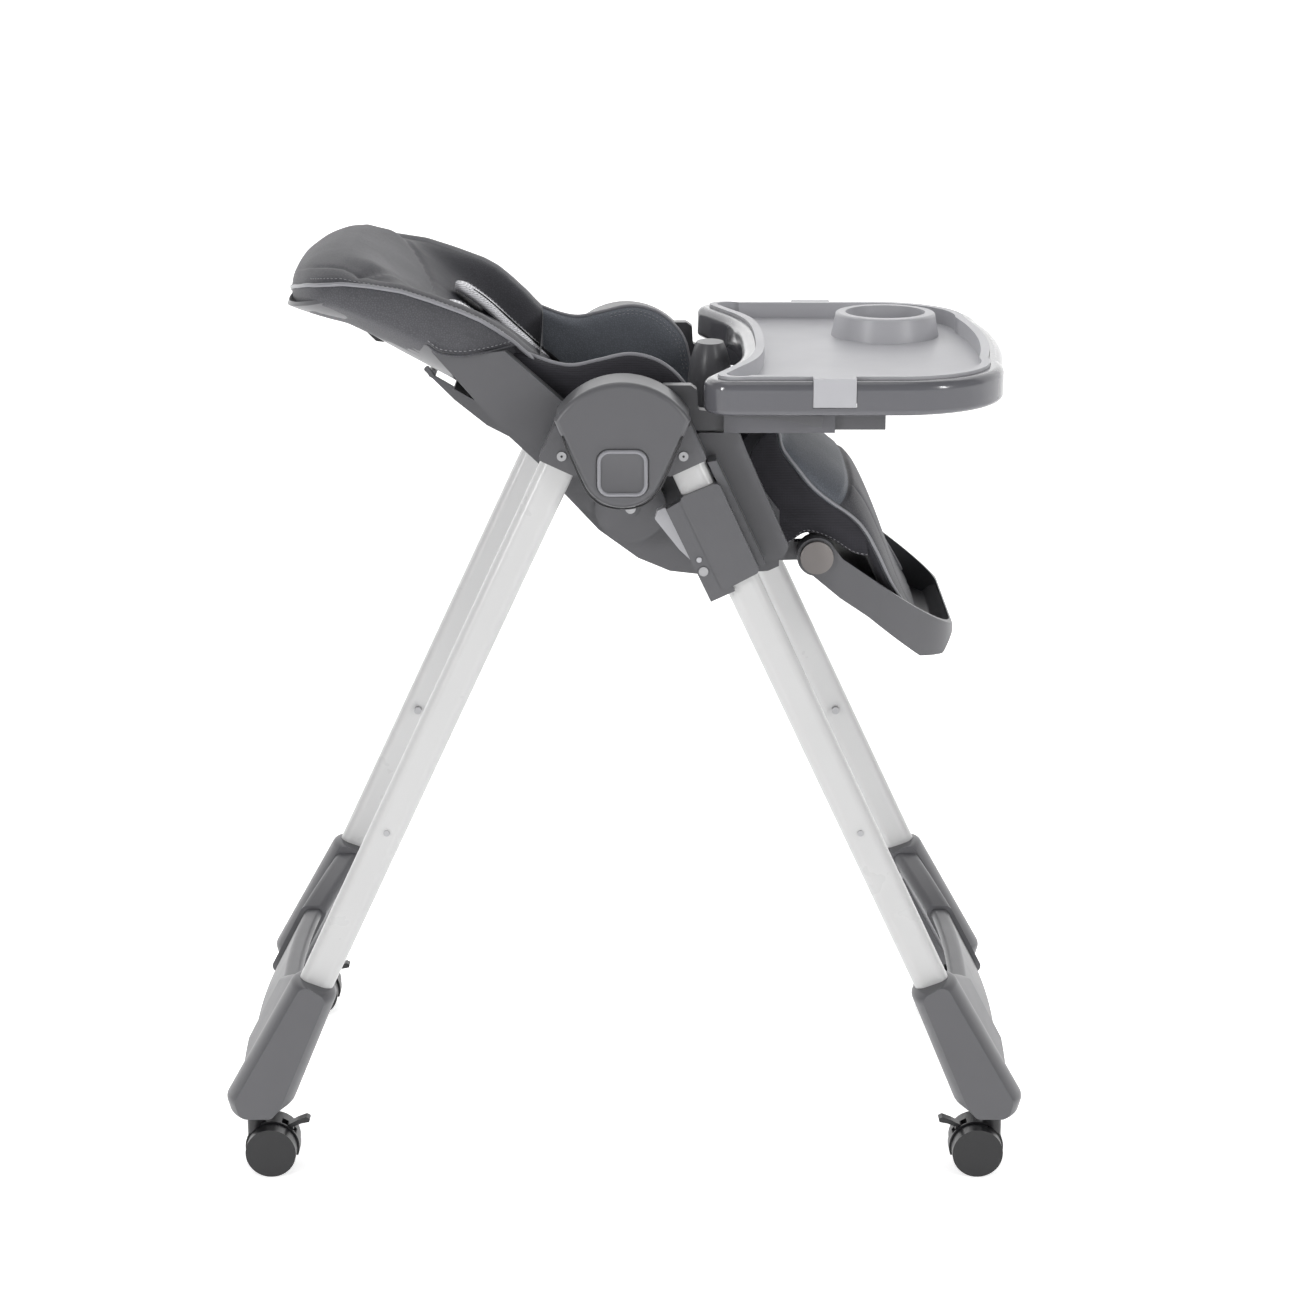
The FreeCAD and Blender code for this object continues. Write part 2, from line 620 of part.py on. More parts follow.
# steel pins, rivets and screws of each frame
def frame_pins(prefix, sign):
    """Rivets through the legs, buttons on their inner sides, screws in the hub and the folding pivots."""
    parts = []
    pin_z = 356.0
    pin_x = sign * (apex - pin_z) * slope
    for side, sy in (("right", -1), ("left", 1)):
        y_in, y_out = sy * 197.0, sy * 221.2

        def lie(name, radius, a, b, x, z):
            low, high = min(a, b), max(a, b)
            parts.append(cylinder("%s_%s_%s" % (prefix, side, name), radius, high - low, (x, low, z),
                                  ACROSS))

        lie("rivet", 3.0, sy * 219.0, y_out, pin_x, pin_z)
        lie("leg_button", 4.0, sy * 194.0, sy * 200.6, pin_x, pin_z)
        lie("foot_screw", 3.5, sy * 183.0, sy * 187.0, sign * 305.0, 168.0)
        lie("hub_screw", 4.5, sy * 223.0, sy * 225.6, sign * 57.0, pivot_z + 12.0)
        if prefix == "front":
            lie("pivot", "Sizes.pivot_radius", sy * 191.5, sy * 224.5, 0.0, pivot_z)
            lie("pivot_head", 10.0, sy * 190.6, sy * 195.6, 0.0, pivot_z)
    pivots = [p for p in parts if "pivot" in p.Name]
    loose = [p for p in parts if "pivot" not in p.Name]
    if pivots:
        loose += [fuse("pivot_right", *pivots[:2]), fuse("pivot_left", *pivots[2:])]
    return group(prefix + "_pins", *loose)


node(frame_pins("front", 1), "front_frame_pins")
node(frame_pins("rear", -1), "rear_frame_pins")


# ---- sliders, levers and seat brackets ----

def leg_plate(name, outline, start, end, corner=0.0):
    """A plate whose outline is given along the front leg: (s, p) pairs."""
    return plate(name, [along_leg(s, p) for s, p in outline], start, end, corner)


s_top, s_end = size("slider_top"), size("slider_end")
sleeve = leg_plate("sleeve", [(s_top, -19.5), (s_top + 2.0, 20.5), (s_end - 3.0, 20.5),
                              (s_end - 1.0, -19.5)],
                   "196", "Sizes.slider_outer", 5.0)
flange = leg_plate("flange", [(s_top + 5.0, -35.0), (s_top + 3.0, -15.0), (s_end + 4.0, -9.0),
                              (s_end + 4.0, -34.0)],
                   "214", "Sizes.slider_outer - 1")
shoulder = leg_plate("shoulder", [(148.0, 19.0), (150.0, 27.0), (s_end - 5.0, 27.0), (s_end - 8.0, 19.0)],
                     "190", "218")
inner_web = leg_plate("inner_web", [(s_top + 6.0, -14.0), (s_top + 6.0, 27.0), (s_end - 8.0, 27.0),
                                    (s_end - 8.0, -14.0)], "190", "197")
slider_space = leg_space("slider_space", "Sizes.tube_low", "Sizes.tube_high", "Sizes.slider_gap")
lever_pin_x, lever_pin_z = along_leg(228.0, -27.0)
lever_pin_bore = across_cylinder("lever_pin_bore", 2.5 + 0.05, "196", "230", str(lever_pin_x),
                                 str(lever_pin_z))
slider = cut("slider", fuse("slider_shape", sleeve, flange, shoulder, inner_web), slider_space,
             lever_pin_bore)
both_sides(slider, "slider")

lever = leg_plate("lever", [(171.0, -36.0), (171.5, -44.0), (177.0, -49.5), (214.0, -41.0), (234.0, -33.0),
                            (234.0, -23.0), (214.0, -27.0)],
                  "200.5", "213.4", 2.5)
lever_pin = across_cylinder("lever_pin", 2.5, "200.5", "Sizes.slider_outer + 0.6", str(lever_pin_x),
                            str(lever_pin_z))
both_sides(fuse("height_lever", lever, lever_pin), "height_lever")

bracket = plate("bracket", [(67.0, 744.5), (110.0, 744.5), (118.0, 724.0), (158.0, 634.0), (153.0, 622.0),
                            (130.0, 618.0), (88.0, 704.0)],
                "Sizes.bracket_inner", "Sizes.bracket_outer", 4.0)
both_sides(bracket, "seat_bracket")

# armrest with its tray rail
arm_block = plate("arm_block", [(30.0, 746.5), (90.0, 746.5), (90.0, 764.0), (71.0, 766.0), (70.0, 785.0),
                                (64.0, 789.5), (38.0, 789.5), (30.0, 783.0)],
                  "Sizes.arm_inner", "Sizes.arm_outer", 3.0)
rail = box("rail", ("80", "-Sizes.arm_outer", "Sizes.rail_low"),
           ("Sizes.rail_front", "-Sizes.arm_inner", "Sizes.rail_high"))
both_sides(fuse("armrest", arm_block, rail), "armrest")


# ---- seat: shell, pad, wings, crotch post and harness ----

def slab(name, points, start, end, radius=4.0):
    """A rounded outline in the XZ plane, run straight across from Y = start to Y = end."""
    wires = [rounded_wire(points, radius, y) for y in (start, end)]
    return loft(name, wires, True)


half = size("shell_half")
wall = size("shell_wall")
shell_outline = [(-60.0, 680.0), (-24.0, 641.0), (14.0, 613.0), (45.0, 600.0), (80.0, 596.0),
                 (140.0, 600.0),
                 (166.0, 612.0), (166.0, 646.0), (159.0, 648.0), (120.0, 700.0), (-30.0, 700.0)]
inside_outline = [(-62.0, 690.0), (-21.0, 646.0), (16.0, 619.0), (46.0, 606.0), (80.0, 602.0),
                  (138.0, 606.0),
                  (160.0, 616.0), (160.0, 720.0), (-62.0, 720.0)]
shell = slab("shell_outside", shell_outline, -half, half)
shell_inside = slab("shell_inside", inside_outline, -half + wall, half - wall)
rest_x, rest_z = size("rest_pivot_x"), size("rest_pivot_z")
lugs, ears, hinge_blocks = [], [], []
for sy in (-1, 1):
    lug = slab("lug%d" % (sy + 1), [(150.0, 604.0), (150.0, 622.0), (rest_x + 4.0, 623.0),
                                    (rest_x + 9.0, 614.0), (rest_x + 4.0, 605.0)],
               sy * 108.0, sy * 122.0, 4.0)
    lugs.append(lug)
    ears.append(slab("ear%d" % (sy + 1), [(84.0, 640.0), (110.0, 690.0), (140.0, 650.0), (150.0, 615.0),
                                          (100.0, 604.0)],
                     sy * (half - 2.0), sy * 176.9, 3.0))
    x, z = size("seat_hinge_x"), size("seat_hinge_z")
    hinge_blocks.append(cylinder("recline_pin%d" % (sy + 1), 8.0, 30.0,
                                 (x, min(sy * 145.0, sy * 175.0), z), ACROSS))
lug_bore = cylinder("lug_bore", 4.05, 300.0, (rest_x, -150.0, rest_z), ACROSS)
reliefs = [slab("corner_relief%d" % (sy + 1), [(150.5, 580.0), (178.0, 580.0), (178.0, 718.0),
                                               (150.5, 718.0)],
                sy * 127.5, sy * 156.0, 1.0) for sy in (-1, 1)]
relieved = cut("shell_relieved", shell, *reliefs)
shell_cut = cut("shell_cut", fuse("shell_whole", relieved, *lugs), shell_inside)
lug_again = cut("seat_shell", fuse("shell_all", shell_cut, *(ears + hinge_blocks)), lug_bore)
node(lug_again, "seat_shell")

pad_outline = [(-46.0, 677.0), (-20.0, 648.5), (16.0, 622.0), (46.0, 609.0), (80.0, 605.0), (136.0, 609.0),
               (156.0, 619.0), (157.5, 652.0), (190.0, 652.0), (203.0, 656.0), (196.0, 680.0),
               (160.0, 722.0), (148.0, 734.0), (138.0, 726.0), (132.0, 690.0), (110.0, 668.0), (60.0,
                       655.0), (10.0, 660.0)]
node(slab("seat_cushion", pad_outline, -121.0, 121.0, 3.0), "seat_pad")

wing_in = size("wing_inner")
wing_outline = [(-101.0, 820.0), (-74.0, 808.0), (-45.0, 802.0), (-22.0, 807.0), (5.0, 812.0),
                (22.0, 810.0),
                (49.0, 793.0), (62.0, 776.0), (68.0, 745.0), (84.0, 722.0), (122.0, 704.0), (-20.0,
                        704.0), (-50.0, 720.0), (-92.0, 790.0)]
both_sides(slab("wing", wing_outline, -wing_in, -half + 0.5, 8.0), "seat_wing")

post_wires = []
for z, x_rear, x_front, half_y in ((662.0, 60.0, 110.0, 26.0), (720.0, 64.0, 106.0, 23.0),
                                   (780.0, 66.0, 105.0, 24.0), (799.0, 72.0, 99.0, 18.0)):
    ellipse = Part.Ellipse(Vector(0, 0, z), half_y, (x_front - x_rear) / 2)
    ellipse.rotate(Placement(Vector(0, 0, z), Rotation(Vector(0, 0, 1), 90.0)))
    ellipse.translate(Vector((x_rear + x_front) / 2, 0, 0))
    post_wires.append(Part.Wire(ellipse.toShape()))
node(loft("post", post_wires), "crotch_post")

straps = [slab("waist_strap%d" % sy, [(22.0, 662.0), (48.0, 659.5), (48.0, 662.0), (22.0, 664.5)],
               sy * 24.0, sy * 124.0, 0.8) for sy in (-1, 1)]
node(group("harness_straps_group", *straps), "harness_straps")
node(slab("buckle", [(14.0, 663.0), (54.0, 659.0), (55.0, 673.0), (50.0, 676.0), (20.0, 679.0),
                     (15.0, 677.0)], -23.0, 23.0, 3.0), "harness_buckle")

seat_screws = []
for sy in (-1, 1):
    screw_x, screw_z = along_leg(240.0, -28.0)
    low = min(sy * 226.0, sy * 227.6)
    seat_screws.append(cylinder("slider_screw%d" % (sy + 1), 4.5, 1.6, (screw_x, low, screw_z), ACROSS))
    seat_screws.append(cylinder("recline_screw%d" % (sy + 1), 5.0, 1.5,
                                (size("seat_hinge_x"), min(sy * 175.0, sy * 176.5),
                                 size("seat_hinge_z")), ACROSS))
node(group("seat_screws_group", *seat_screws), "seat_screws")


# ---- backrest ----

def back_lines(y):
    """Rear and front line of the back's upper part at a distance y from the middle, from the bottom up."""
    stations = [
        (0.0, [(-160.0, 766.0), (-194.0, 790.0), (-224.0, 807.0), (-263.0, 830.0), (-303.0, 842.0),
               (-326.0, 851.0)],
         [(-140.0, 800.0), (-165.0, 826.0), (-215.0, 852.0), (-270.0, 868.0), (-300.0, 880.0),
          (-318.0, 886.0)]),
        (135.0, [(-164.0, 792.0), (-194.0, 806.0), (-224.0, 822.0), (-262.0, 840.0), (-296.0, 850.0),
                 (-312.0, 856.0)],
         [(-136.0, 824.0), (-160.0, 850.0), (-213.0, 880.0), (-262.0, 893.0), (-290.0, 893.0),
          (-306.0, 886.0)]),
        (168.0, [(-160.0, 812.0), (-190.0, 826.0), (-220.0, 840.0), (-250.0, 852.0), (-272.0, 860.0),
                 (-282.0, 864.0)],
         [(-119.0, 836.0), (-150.0, 854.0), (-206.0, 877.0), (-250.0, 884.0), (-268.0, 884.0),
          (-278.0, 880.0)]),
    ]
    return [(rear, front) for at, rear, front in stations if at == abs(y)][0]


def smooth_section(rear, front, y):
    """One section of the back: two smooth lines joined by short ends."""
    def curve(points):
        line = Part.BSplineCurve()
        line.interpolate([Vector(x, y, z) for x, z in points])
        return line.toShape()

    ends = [Part.makeLine(Vector(rear[0][0], y, rear[0][1]), Vector(front[0][0], y, front[0][1])),
            Part.makeLine(Vector(rear[-1][0], y, rear[-1][1]), Vector(front[-1][0], y, front[-1][1]))]
    return Part.Wire(Part.__sortEdges__([curve(rear), ends[1], curve(front), ends[0]]))


def shift(points, dx, dz):
    return [(x + dx, z + dz) for x, z in points]


BACK_STATIONS = (-168.0, -135.0, 0.0, 135.0, 168.0)
pad_sections, shell_sections = [], []
for y in BACK_STATIONS:
    rear, front = back_lines(y)
    pad_sections.append(smooth_section(shift(rear, 2.2, 5.2), front, y))
    shell_sections.append(smooth_section(rear, shift(rear, 1.6, 4.2), y))
upper_pad = loft("upper_pad", pad_sections)
upper_shell = loft("upper_shell", shell_sections)

lower_pad = slab("lower_pad", [(-50.0, 702.0), (-18.0, 700.0), (-45.0, 732.0), (-80.0, 768.0),
                               (-125.0, 806.0), (-160.0, 826.0),
                               (-172.0, 786.0), (-150.0, 768.0), (-122.0, 757.0), (-82.0,
                                       720.0)], -118.0, 118.0, 5.0)
lower_shell = slab("lower_shell", [(-58.0, 690.0), (-85.0, 712.0), (-125.0, 746.0), (-165.0, 769.0),
                                   (-164.0, 774.0), (-124.0, 751.5),
                                   (-83.0, 717.0), (-55.0, 696.0)], -121.0, 121.0, 1.5)

hinge_x, hinge_z = size("seat_hinge_x"), size("seat_hinge_z")
cheek_outline = [(-188.0, 826.5), (-158.0, 813.5), (-112.0, 819.0), (-60.0, 773.0), (-20.0, 735.0),
                 (hinge_x + 26.0, hinge_z + 22.0),
                 (hinge_x + 6.0, hinge_z - 30.0), (-40.0, 668.0), (-79.0, 709.0), (-117.0, 745.0), (-145.0,
                         777.0), (-170.0, 806.0)]
cheeks = []
for sy in (-1, 1):
    start, end = sy * size("cheek_inner"), sy * size("cheek_outer")
    side_plate = slab("cheek%d" % (sy + 1), cheek_outline, start, end, 3.0)
    boss = cylinder("cheek_boss%d" % (sy + 1), "Sizes.boss_radius", 21.0,
                    (hinge_x, min(start, start + sy * 21.0), hinge_z), ACROSS)
    cheeks += [side_plate, boss]
recline_bore = cylinder("recline_bore", 8.05, 400.0, (hinge_x, -200.0, hinge_z), ACROSS)
shell_parts = fuse("back_shell_shape", upper_shell, lower_shell, *cheeks)
back_shell = cut("back_shell", shell_parts, recline_bore)
node(back_shell, "backrest_shell")
node(cut("back_pad", fuse("back_pad_shape", upper_pad, lower_pad), back_shell), "backrest_pad")

rails = [slab("recline_rail%d" % (sy + 1), [(-197.0, 783.0), (-166.0, 752.0), (-135.0, 727.0),
                                            (-112.0, 715.0), (-108.0, 722.0),
                                            (-150.0, 755.0), (-186.0, 776.0), (-192.0,
                                                    786.0)], sy * 60.0, sy * 66.0, 2.0) for sy in (-1, 1)]
rail_rod = cylinder("recline_rod", 4.0, 128.0, (-188.0, -64.0, 778.0), ACROSS)
node(fuse("recline_rail", rail_rod, *rails), "recline_rail")

handle = slab("handle", [(-262.0, 819.0), (-246.0, 803.0), (-238.0, 802.0), (-235.0, 807.0),
                         (-240.0, 811.0), (-250.0, 818.0), (-258.0, 824.5)],
              -22.0, 22.0, 2.0)
handle_barrel = cylinder("handle_barrel", 2.0, 44.0, (-258.5, -22.0, 821.0), ACROSS)
node(fuse("handle_with_barrel", handle, handle_barrel), "recline_handle")

shoulder = [slab("shoulder_pad%d" % (sy + 1), [(-168.0, 838.0), (-150.0, 830.0), (-110.0, 803.0),
                                               (-84.0, 783.0), (-78.0, 790.0), (-104.0, 812.0), (-146.0,
                                                       840.0), (-166.0, 848.0)],
                 sy * 45.0, sy * 77.0, 3.0) for sy in (-1, 1)]
node(cut("shoulder_cut", group("shoulder_group", *shoulder), fuse("back_copy", upper_pad, lower_pad)),
     "shoulder_straps")


# ---- leg rest ----

rest_half = size("rest_half")
rest_outline = [(200.0, 628.0), (212.0, 612.0), (326.0, 533.0), (327.0, 524.0), (315.0, 508.0),
                (290.0, 512.0), (238.0, 554.0),
                (210.0, 573.0), (179.0, 599.0), (172.0, 608.0), (174.0, 624.0), (186.0, 632.0)]
rest_inside = [(150.0, 612.0), (181.0, 602.0), (212.0, 577.5), (240.0, 558.5), (291.0, 517.0),
               (313.0, 513.0), (321.0, 525.0), (345.0, 560.0), (230.0, 650.0), (150.0, 660.0)]
def rounded_plan(name, inset):
    """An upright block whose two front corners are rounded, to shape the leg rest's front in plan."""
    front, half_y, corner = 328.0 - inset, rest_half - inset, 78.0 - inset
    rear = 140.0
    turn = corner * (1 - math.sqrt(0.5))
    edges = [Part.makeLine(Vector(rear, -half_y, 480.0), Vector(front - corner, -half_y, 480.0)),
             Part.Arc(Vector(front - corner, -half_y, 480.0), Vector(front - turn, -half_y + turn, 480.0),
                      Vector(front, -half_y + corner, 480.0)).toShape(),
             Part.makeLine(Vector(front, -half_y + corner, 480.0), Vector(front, half_y - corner, 480.0)),
             Part.Arc(Vector(front, half_y - corner, 480.0), Vector(front - turn, half_y - turn, 480.0),
                      Vector(front - corner, half_y, 480.0)).toShape(),
             Part.makeLine(Vector(front - corner, half_y, 480.0), Vector(rear, half_y, 480.0)),
             Part.makeLine(Vector(rear, half_y, 480.0), Vector(rear, -half_y, 480.0))]
    face = Part.Face(Part.Wire(edges))
    return feature(name, face.extrude(Vector(0, 0, 200.0)))


rest_body = common("rest_rounded", slab("rest_outside", rest_outline, -rest_half, rest_half, 3.0),
                   rounded_plan("rest_plan", 0.0))
rest_hollow = common("rest_hollow_rounded",
                     slab("rest_hollow", rest_inside, -rest_half + 4.0, rest_half - 4.0, 3.0),
                     rounded_plan("rest_hollow_plan", 4.0))
rest_tail = cylinder("rest_tail", 24.0, 252.0, (rest_x, -126.0, rest_z), ACROSS)
bosses, pins, wells = [], [], []
for sy in (-1, 1):
    bosses.append(cylinder("rest_boss%d" % (sy + 1), 19.0, 23.0,
                           (rest_x, min(sy * 127.0, sy * 150.0), rest_z), ACROSS))
    pins.append(cylinder("rest_pin%d" % (sy + 1), 4.0, 21.0, (rest_x, min(sy * 107.0, sy * 128.0), rest_z),
                         ACROSS))
    wells.append(cylinder("rest_well%d" % (sy + 1), "Sizes.rest_button + 0.3", 26.0,
                          (rest_x, min(sy * 132.0, sy * 158.0), rest_z), ACROSS))
rest = cut("rest_trough", rest_body, rest_hollow, rest_tail)
node(cut("leg_rest", fuse("rest_whole", rest, *(bosses + pins)), *wells), "leg_rest_shell")
rest_button = across_cylinder("rest_button", "Sizes.rest_button", "143", "155", str(rest_x), str(rest_z))
both_sides(rest_button, "leg_rest_button")
node(slab("calf_pad", [(232.0, 634.0), (240.0, 646.0), (262.0, 622.0), (286.0, 582.0), (304.0, 538.0),
                       (296.0, 528.0), (282.0, 536.0),
                       (262.0, 566.0), (242.0, 600.0), (230.0, 622.0)], -118.0, 118.0, 4.0), "leg_rest_pad")


# ---- tray ----

def tray_wire(z, inset):
    """The tray's plan, drawn in by an inset: a scoop at the rear, horns beside it and a bowed front."""
    edge = size("tray_half") - inset
    slant = 0.7 * inset

    def point(x, y):
        return Vector(x, y, z)

    scoop = Part.BSplineCurve()
    side = [(78.0, 198.0), (89.0, 170.0), (103.0, 135.0), (114.0, 80.0), (117.0, 0.0)]
    side = [(x + inset, y) for x, y in side]
    scoop.interpolate([point(x, -y) for x, y in side] + [point(x, y) for x, y in reversed(side[:-1])])
    front = Part.Arc(point(364 - inset, -120), point(374 - inset, 0), point(364 - inset, 120))
    edges = [scoop.toShape(), front.toShape()]
    for sy in (-1, 1):
        horn = Part.Arc(point(78 + inset, sy * 198), point(82 + slant, sy * (225 - slant)),
                        point(105 + slant, sy * edge))
        corner = Part.Arc(point(262, sy * edge), point(334 - slant, sy * (204 - slant)),
                          point(364 - inset, sy * 120))
        edges += [horn.toShape(), Part.makeLine(point(105 + slant, sy * edge), point(262, sy * edge)),
                  corner.toShape()]
    return Part.Wire(Part.__sortEdges__(edges))


def tray_slab(inset, low, high):
    """The tray's plan, drawn in, between two heights."""
    return Part.Face(tray_wire(low, inset)).extrude(Vector(0, 0, high - low))


tray_low, tray_deck, tray_rim = size("tray_low"), size("tray_deck"), size("tray_rim")
rim = tray_slab(0, tray_low, tray_rim)
top_edges = [e for e in rim.Edges if e.BoundBox.ZMin > tray_rim - 0.01]
rim = rim.makeFillet(8.0, top_edges)
low_edges = [e for e in rim.Edges if e.BoundBox.ZMax < tray_low + 0.01]
rim = rim.makeFillet(5.0, low_edges)
well = tray_slab(13.0, tray_deck, tray_rim + 5.0)
under = tray_slab(5.0, tray_low - 5.0, tray_deck - 4.0)
tray_base = rim.cut(well).cut(under)
clip_notches, guides = [], []
for sy in (-1, 1):
    tray_w = size("tray_half")
    notch = Part.makeBox(41.0, 20.0, 40.0, Vector(176.5, min(sy * (tray_w - 6.0), sy * (tray_w + 14.0)),
                                                  776.5))
    clip_notches.append(notch)
    for a, b in ((189.0, 193.5), (166.5, 173.0)):
        guides.append(Part.makeBox(105.0, b - a, 36.0, Vector(95.0, min(sy * a, sy * b), 745.0)))
tray_base = tray_base.fuse(guides).cut(clip_notches)
tray_base = tray_base.removeSplitter()
node(feature("tray_base", tray_base), "tray_base")

insert = tray_slab(13.4, tray_deck + 0.2, tray_rim + 3.0)
floor_cut = tray_slab(22.0, tray_deck + 4.0, tray_rim + 20.0)
insert = insert.cut(floor_cut)
cup_at = Vector(size("cup_x"), size("cup_y"), tray_deck + 0.2)
ring = Part.makeCone(56.0, 51.0, 812.0 - cup_at.z, cup_at)
ring = ring.makeFillet(3.0, [e for e in ring.Edges if e.BoundBox.ZMin > 811.9])
cup = Part.makeCylinder(size("cup_radius"), 40.0, cup_at + Vector(0, 0, 3.0))
insert = insert.fuse(ring).cut(cup)
clips = []
for sy in (-1, 1):
    clips.append(Part.makeBox(40.0, 4.5, 27.0, Vector(177.0, min(sy * 230.0, sy * 234.5), 777.0)))
    clips.append(Part.makeBox(40.0, 14.5, 2.6, Vector(177.0, min(sy * 220.0, sy * 234.5), 801.4)))
insert = insert.fuse(clips).removeSplitter()
node(feature("tray_insert", insert), "tray_insert")

release = [slab("release%d" % (sy + 1), [(94.0, 767.0), (188.0, 764.0), (187.0, 752.5), (150.0, 760.0),
                                         (94.0, 764.0)], sy * 196.5, sy * 208.0, 0.8) for sy in (-1, 1)]
barrels = [cylinder("release_barrel%d" % (sy + 1), 1.4, 11.5, (100.0, min(sy * 196.5, sy * 208.0), 765.5),
                    ACROSS)
           for sy in (-1, 1)]
wedges = [fuse("release_whole%d" % i, *pair) for i, pair in enumerate(zip(release, barrels))]
node(group("release_levers", *wedges), "tray_release")


# ---- check every object, then write the sub-parts ----

doc.recompute()
for obj in doc.Objects:
    if {"Invalid", "Error"} & set(obj.State):
        raise RuntimeError("%s failed: %s" % (obj.Name, obj.State))
os.makedirs("parts", exist_ok=True)
for obj in NODES:
    if obj.Shape.isNull() or not obj.Shape.isValid() or not obj.Shape.Solids:
        raise RuntimeError("%s has no sound solid" % obj.Label)
for obj in NODES:
    obj.Shape.exportStep("parts/%s.step" % obj.Label)
print(len(NODES), "sub-parts written")
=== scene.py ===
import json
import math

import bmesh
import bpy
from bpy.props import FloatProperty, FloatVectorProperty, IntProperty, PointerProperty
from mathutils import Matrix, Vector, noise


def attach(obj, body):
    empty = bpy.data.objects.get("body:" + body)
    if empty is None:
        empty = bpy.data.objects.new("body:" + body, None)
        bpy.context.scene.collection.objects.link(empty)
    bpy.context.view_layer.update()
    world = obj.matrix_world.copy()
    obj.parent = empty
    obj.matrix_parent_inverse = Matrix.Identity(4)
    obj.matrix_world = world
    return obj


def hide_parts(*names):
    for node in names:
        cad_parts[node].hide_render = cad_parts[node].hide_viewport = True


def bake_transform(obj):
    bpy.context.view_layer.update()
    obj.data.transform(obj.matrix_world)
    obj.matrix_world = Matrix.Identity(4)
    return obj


bl_info = {
    "name": "Baby High Chair",
    "version": (1, 0, 0),
    "blender": (4, 5, 0),
    "location": "View3D > Sidebar > High Chair",
    "description": "Finishes the frame of a folding high chair and makes its upholstery",
    "category": "Add Mesh",
}

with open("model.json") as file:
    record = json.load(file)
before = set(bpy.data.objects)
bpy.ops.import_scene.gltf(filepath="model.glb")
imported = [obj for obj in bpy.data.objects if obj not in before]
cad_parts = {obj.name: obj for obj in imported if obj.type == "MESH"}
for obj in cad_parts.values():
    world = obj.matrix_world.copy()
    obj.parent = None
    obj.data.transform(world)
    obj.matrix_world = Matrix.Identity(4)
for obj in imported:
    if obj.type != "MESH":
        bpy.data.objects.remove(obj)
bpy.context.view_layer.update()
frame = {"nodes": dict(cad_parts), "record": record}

MM = 0.001
WELD = 0.00002  # metres: points closer than this are one
THREAD_RADIUS = 0.42  # millimetres, thick enough to show
NODES = frame["nodes"]
SIDES = ((-1, "right"), (1, "left"))
# Material slots of a sewn piece; PANEL is its second leather, on the back cushion darkened as painted shade
# and on the front cushion lightened as painted light.
LEATHER, LINING, PIPING, THREAD, PANEL = range(5)


def linear(hex_colour):
    """An sRGB hex colour, such as "5d5d60", as linear RGB."""
    channels = [int(hex_colour[i:i + 2], 16) / 255 for i in (0, 2, 4)]
    return tuple(c / 12.92 if c <= 0.04045 else ((c + 0.055) / 1.055) ** 2.4 for c in channels)


def colour(name, words, hex_colour):
    """A colour property with its default given in hex."""
    return FloatVectorProperty(name=name, description=words, subtype="COLOR", size=3, min=0, max=1,
                               default=linear(hex_colour))


def length(name, words, metres):
    """A length property in metres."""
    return FloatProperty(name=name, description=words, default=metres, min=0, unit="LENGTH")


class HighChairColours(bpy.types.PropertyGroup):
    """Colours of the chair's finishes."""
    plastic: colour("Frame plastic", "Moulded parts of the frame, hubs and feet", "5f5f62")
    gloss: colour("Tray rim", "Glossy rim of the tray", "626267")
    pale: colour("Tray insert", "Pale insert, clips and levers", "b9b9bd")
    tube: colour("Leg tubes", "Powder-coated leg tubes", "cfcfcf")
    nylon: colour("Casters", "Wheels, hoods and brake levers", "202022")
    leather: colour("Upholstery", "Synthetic leather of the seat and back", "57575b")
    # Painted shade: the leather darkened where the recess lies in shade.
    recess: colour("Recess leather", "Darker leather where the child lies", "424247")
    # Painted light: a lighter, bluish copy of the leather for the lit wings and front panel.
    wing: colour("Wing leather", "Bluish leather of the wings and the front panel", "6c7077")
    lining: colour("Lining", "Dark woven sides and backs of the pads", "2b2a30")
    piping: colour("Piping", "Welt along the edges of the pads", "8f8f94")
    thread: colour("Thread", "Top stitching", "a2a2a6")
    webbing: colour("Webbing", "Harness straps", "1c1c1e")
    sleeve: colour("Shoulder pads", "Soft sleeves on the shoulder straps", "e2e2e6")
    taupe: colour("Leg rest buttons", "Round buttons at the leg rest's pivot", "837e7c")
    steel: colour("Fasteners", "Zinc-plated screws and rivets", "b4b4b6")
    floor: colour("Floor", "Studio floor", "f4f4f4")


class HighChairSizes(bpy.types.PropertyGroup):
    """Sizes of the sewn and finished pieces."""
    grain: length("Leather grain", "Width of one grain of the synthetic leather", 0.0022)
    weave: length("Weave", "Width of one thread pair of the woven fabrics", 0.0016)
    texture: length("Plastic texture", "Grit of the spark-eroded texture on moulded parts", 0.0015)
    piping: length("Piping", "Radius of the welt along the edges", 0.0021)
    stitch: length("Stitch", "Length of one stitch", 0.0045)
    smoothness: IntProperty(name="Smoothness", description="Subdivision levels of the sewn pieces",
                            default=1, min=0, max=3)


def colours():
    """The scene's finish colours."""
    return bpy.context.scene.high_chair_colours


def sizes():
    """The scene's sewing and texture sizes."""
    return bpy.context.scene.high_chair_sizes


# ---- materials ----

def add(tree, kind, settings=None, inputs=None):
    """Add a node with its settings; an input is a value, or another node's output to link."""
    node = tree.nodes.new(kind)
    for name, value in (settings or {}).items():
        setattr(node, name, value)
    for name, value in (inputs or {}).items():
        if isinstance(value, bpy.types.NodeSocket):
            tree.links.new(value, node.inputs[name])
        else:
            node.inputs[name].default_value = value
    return node


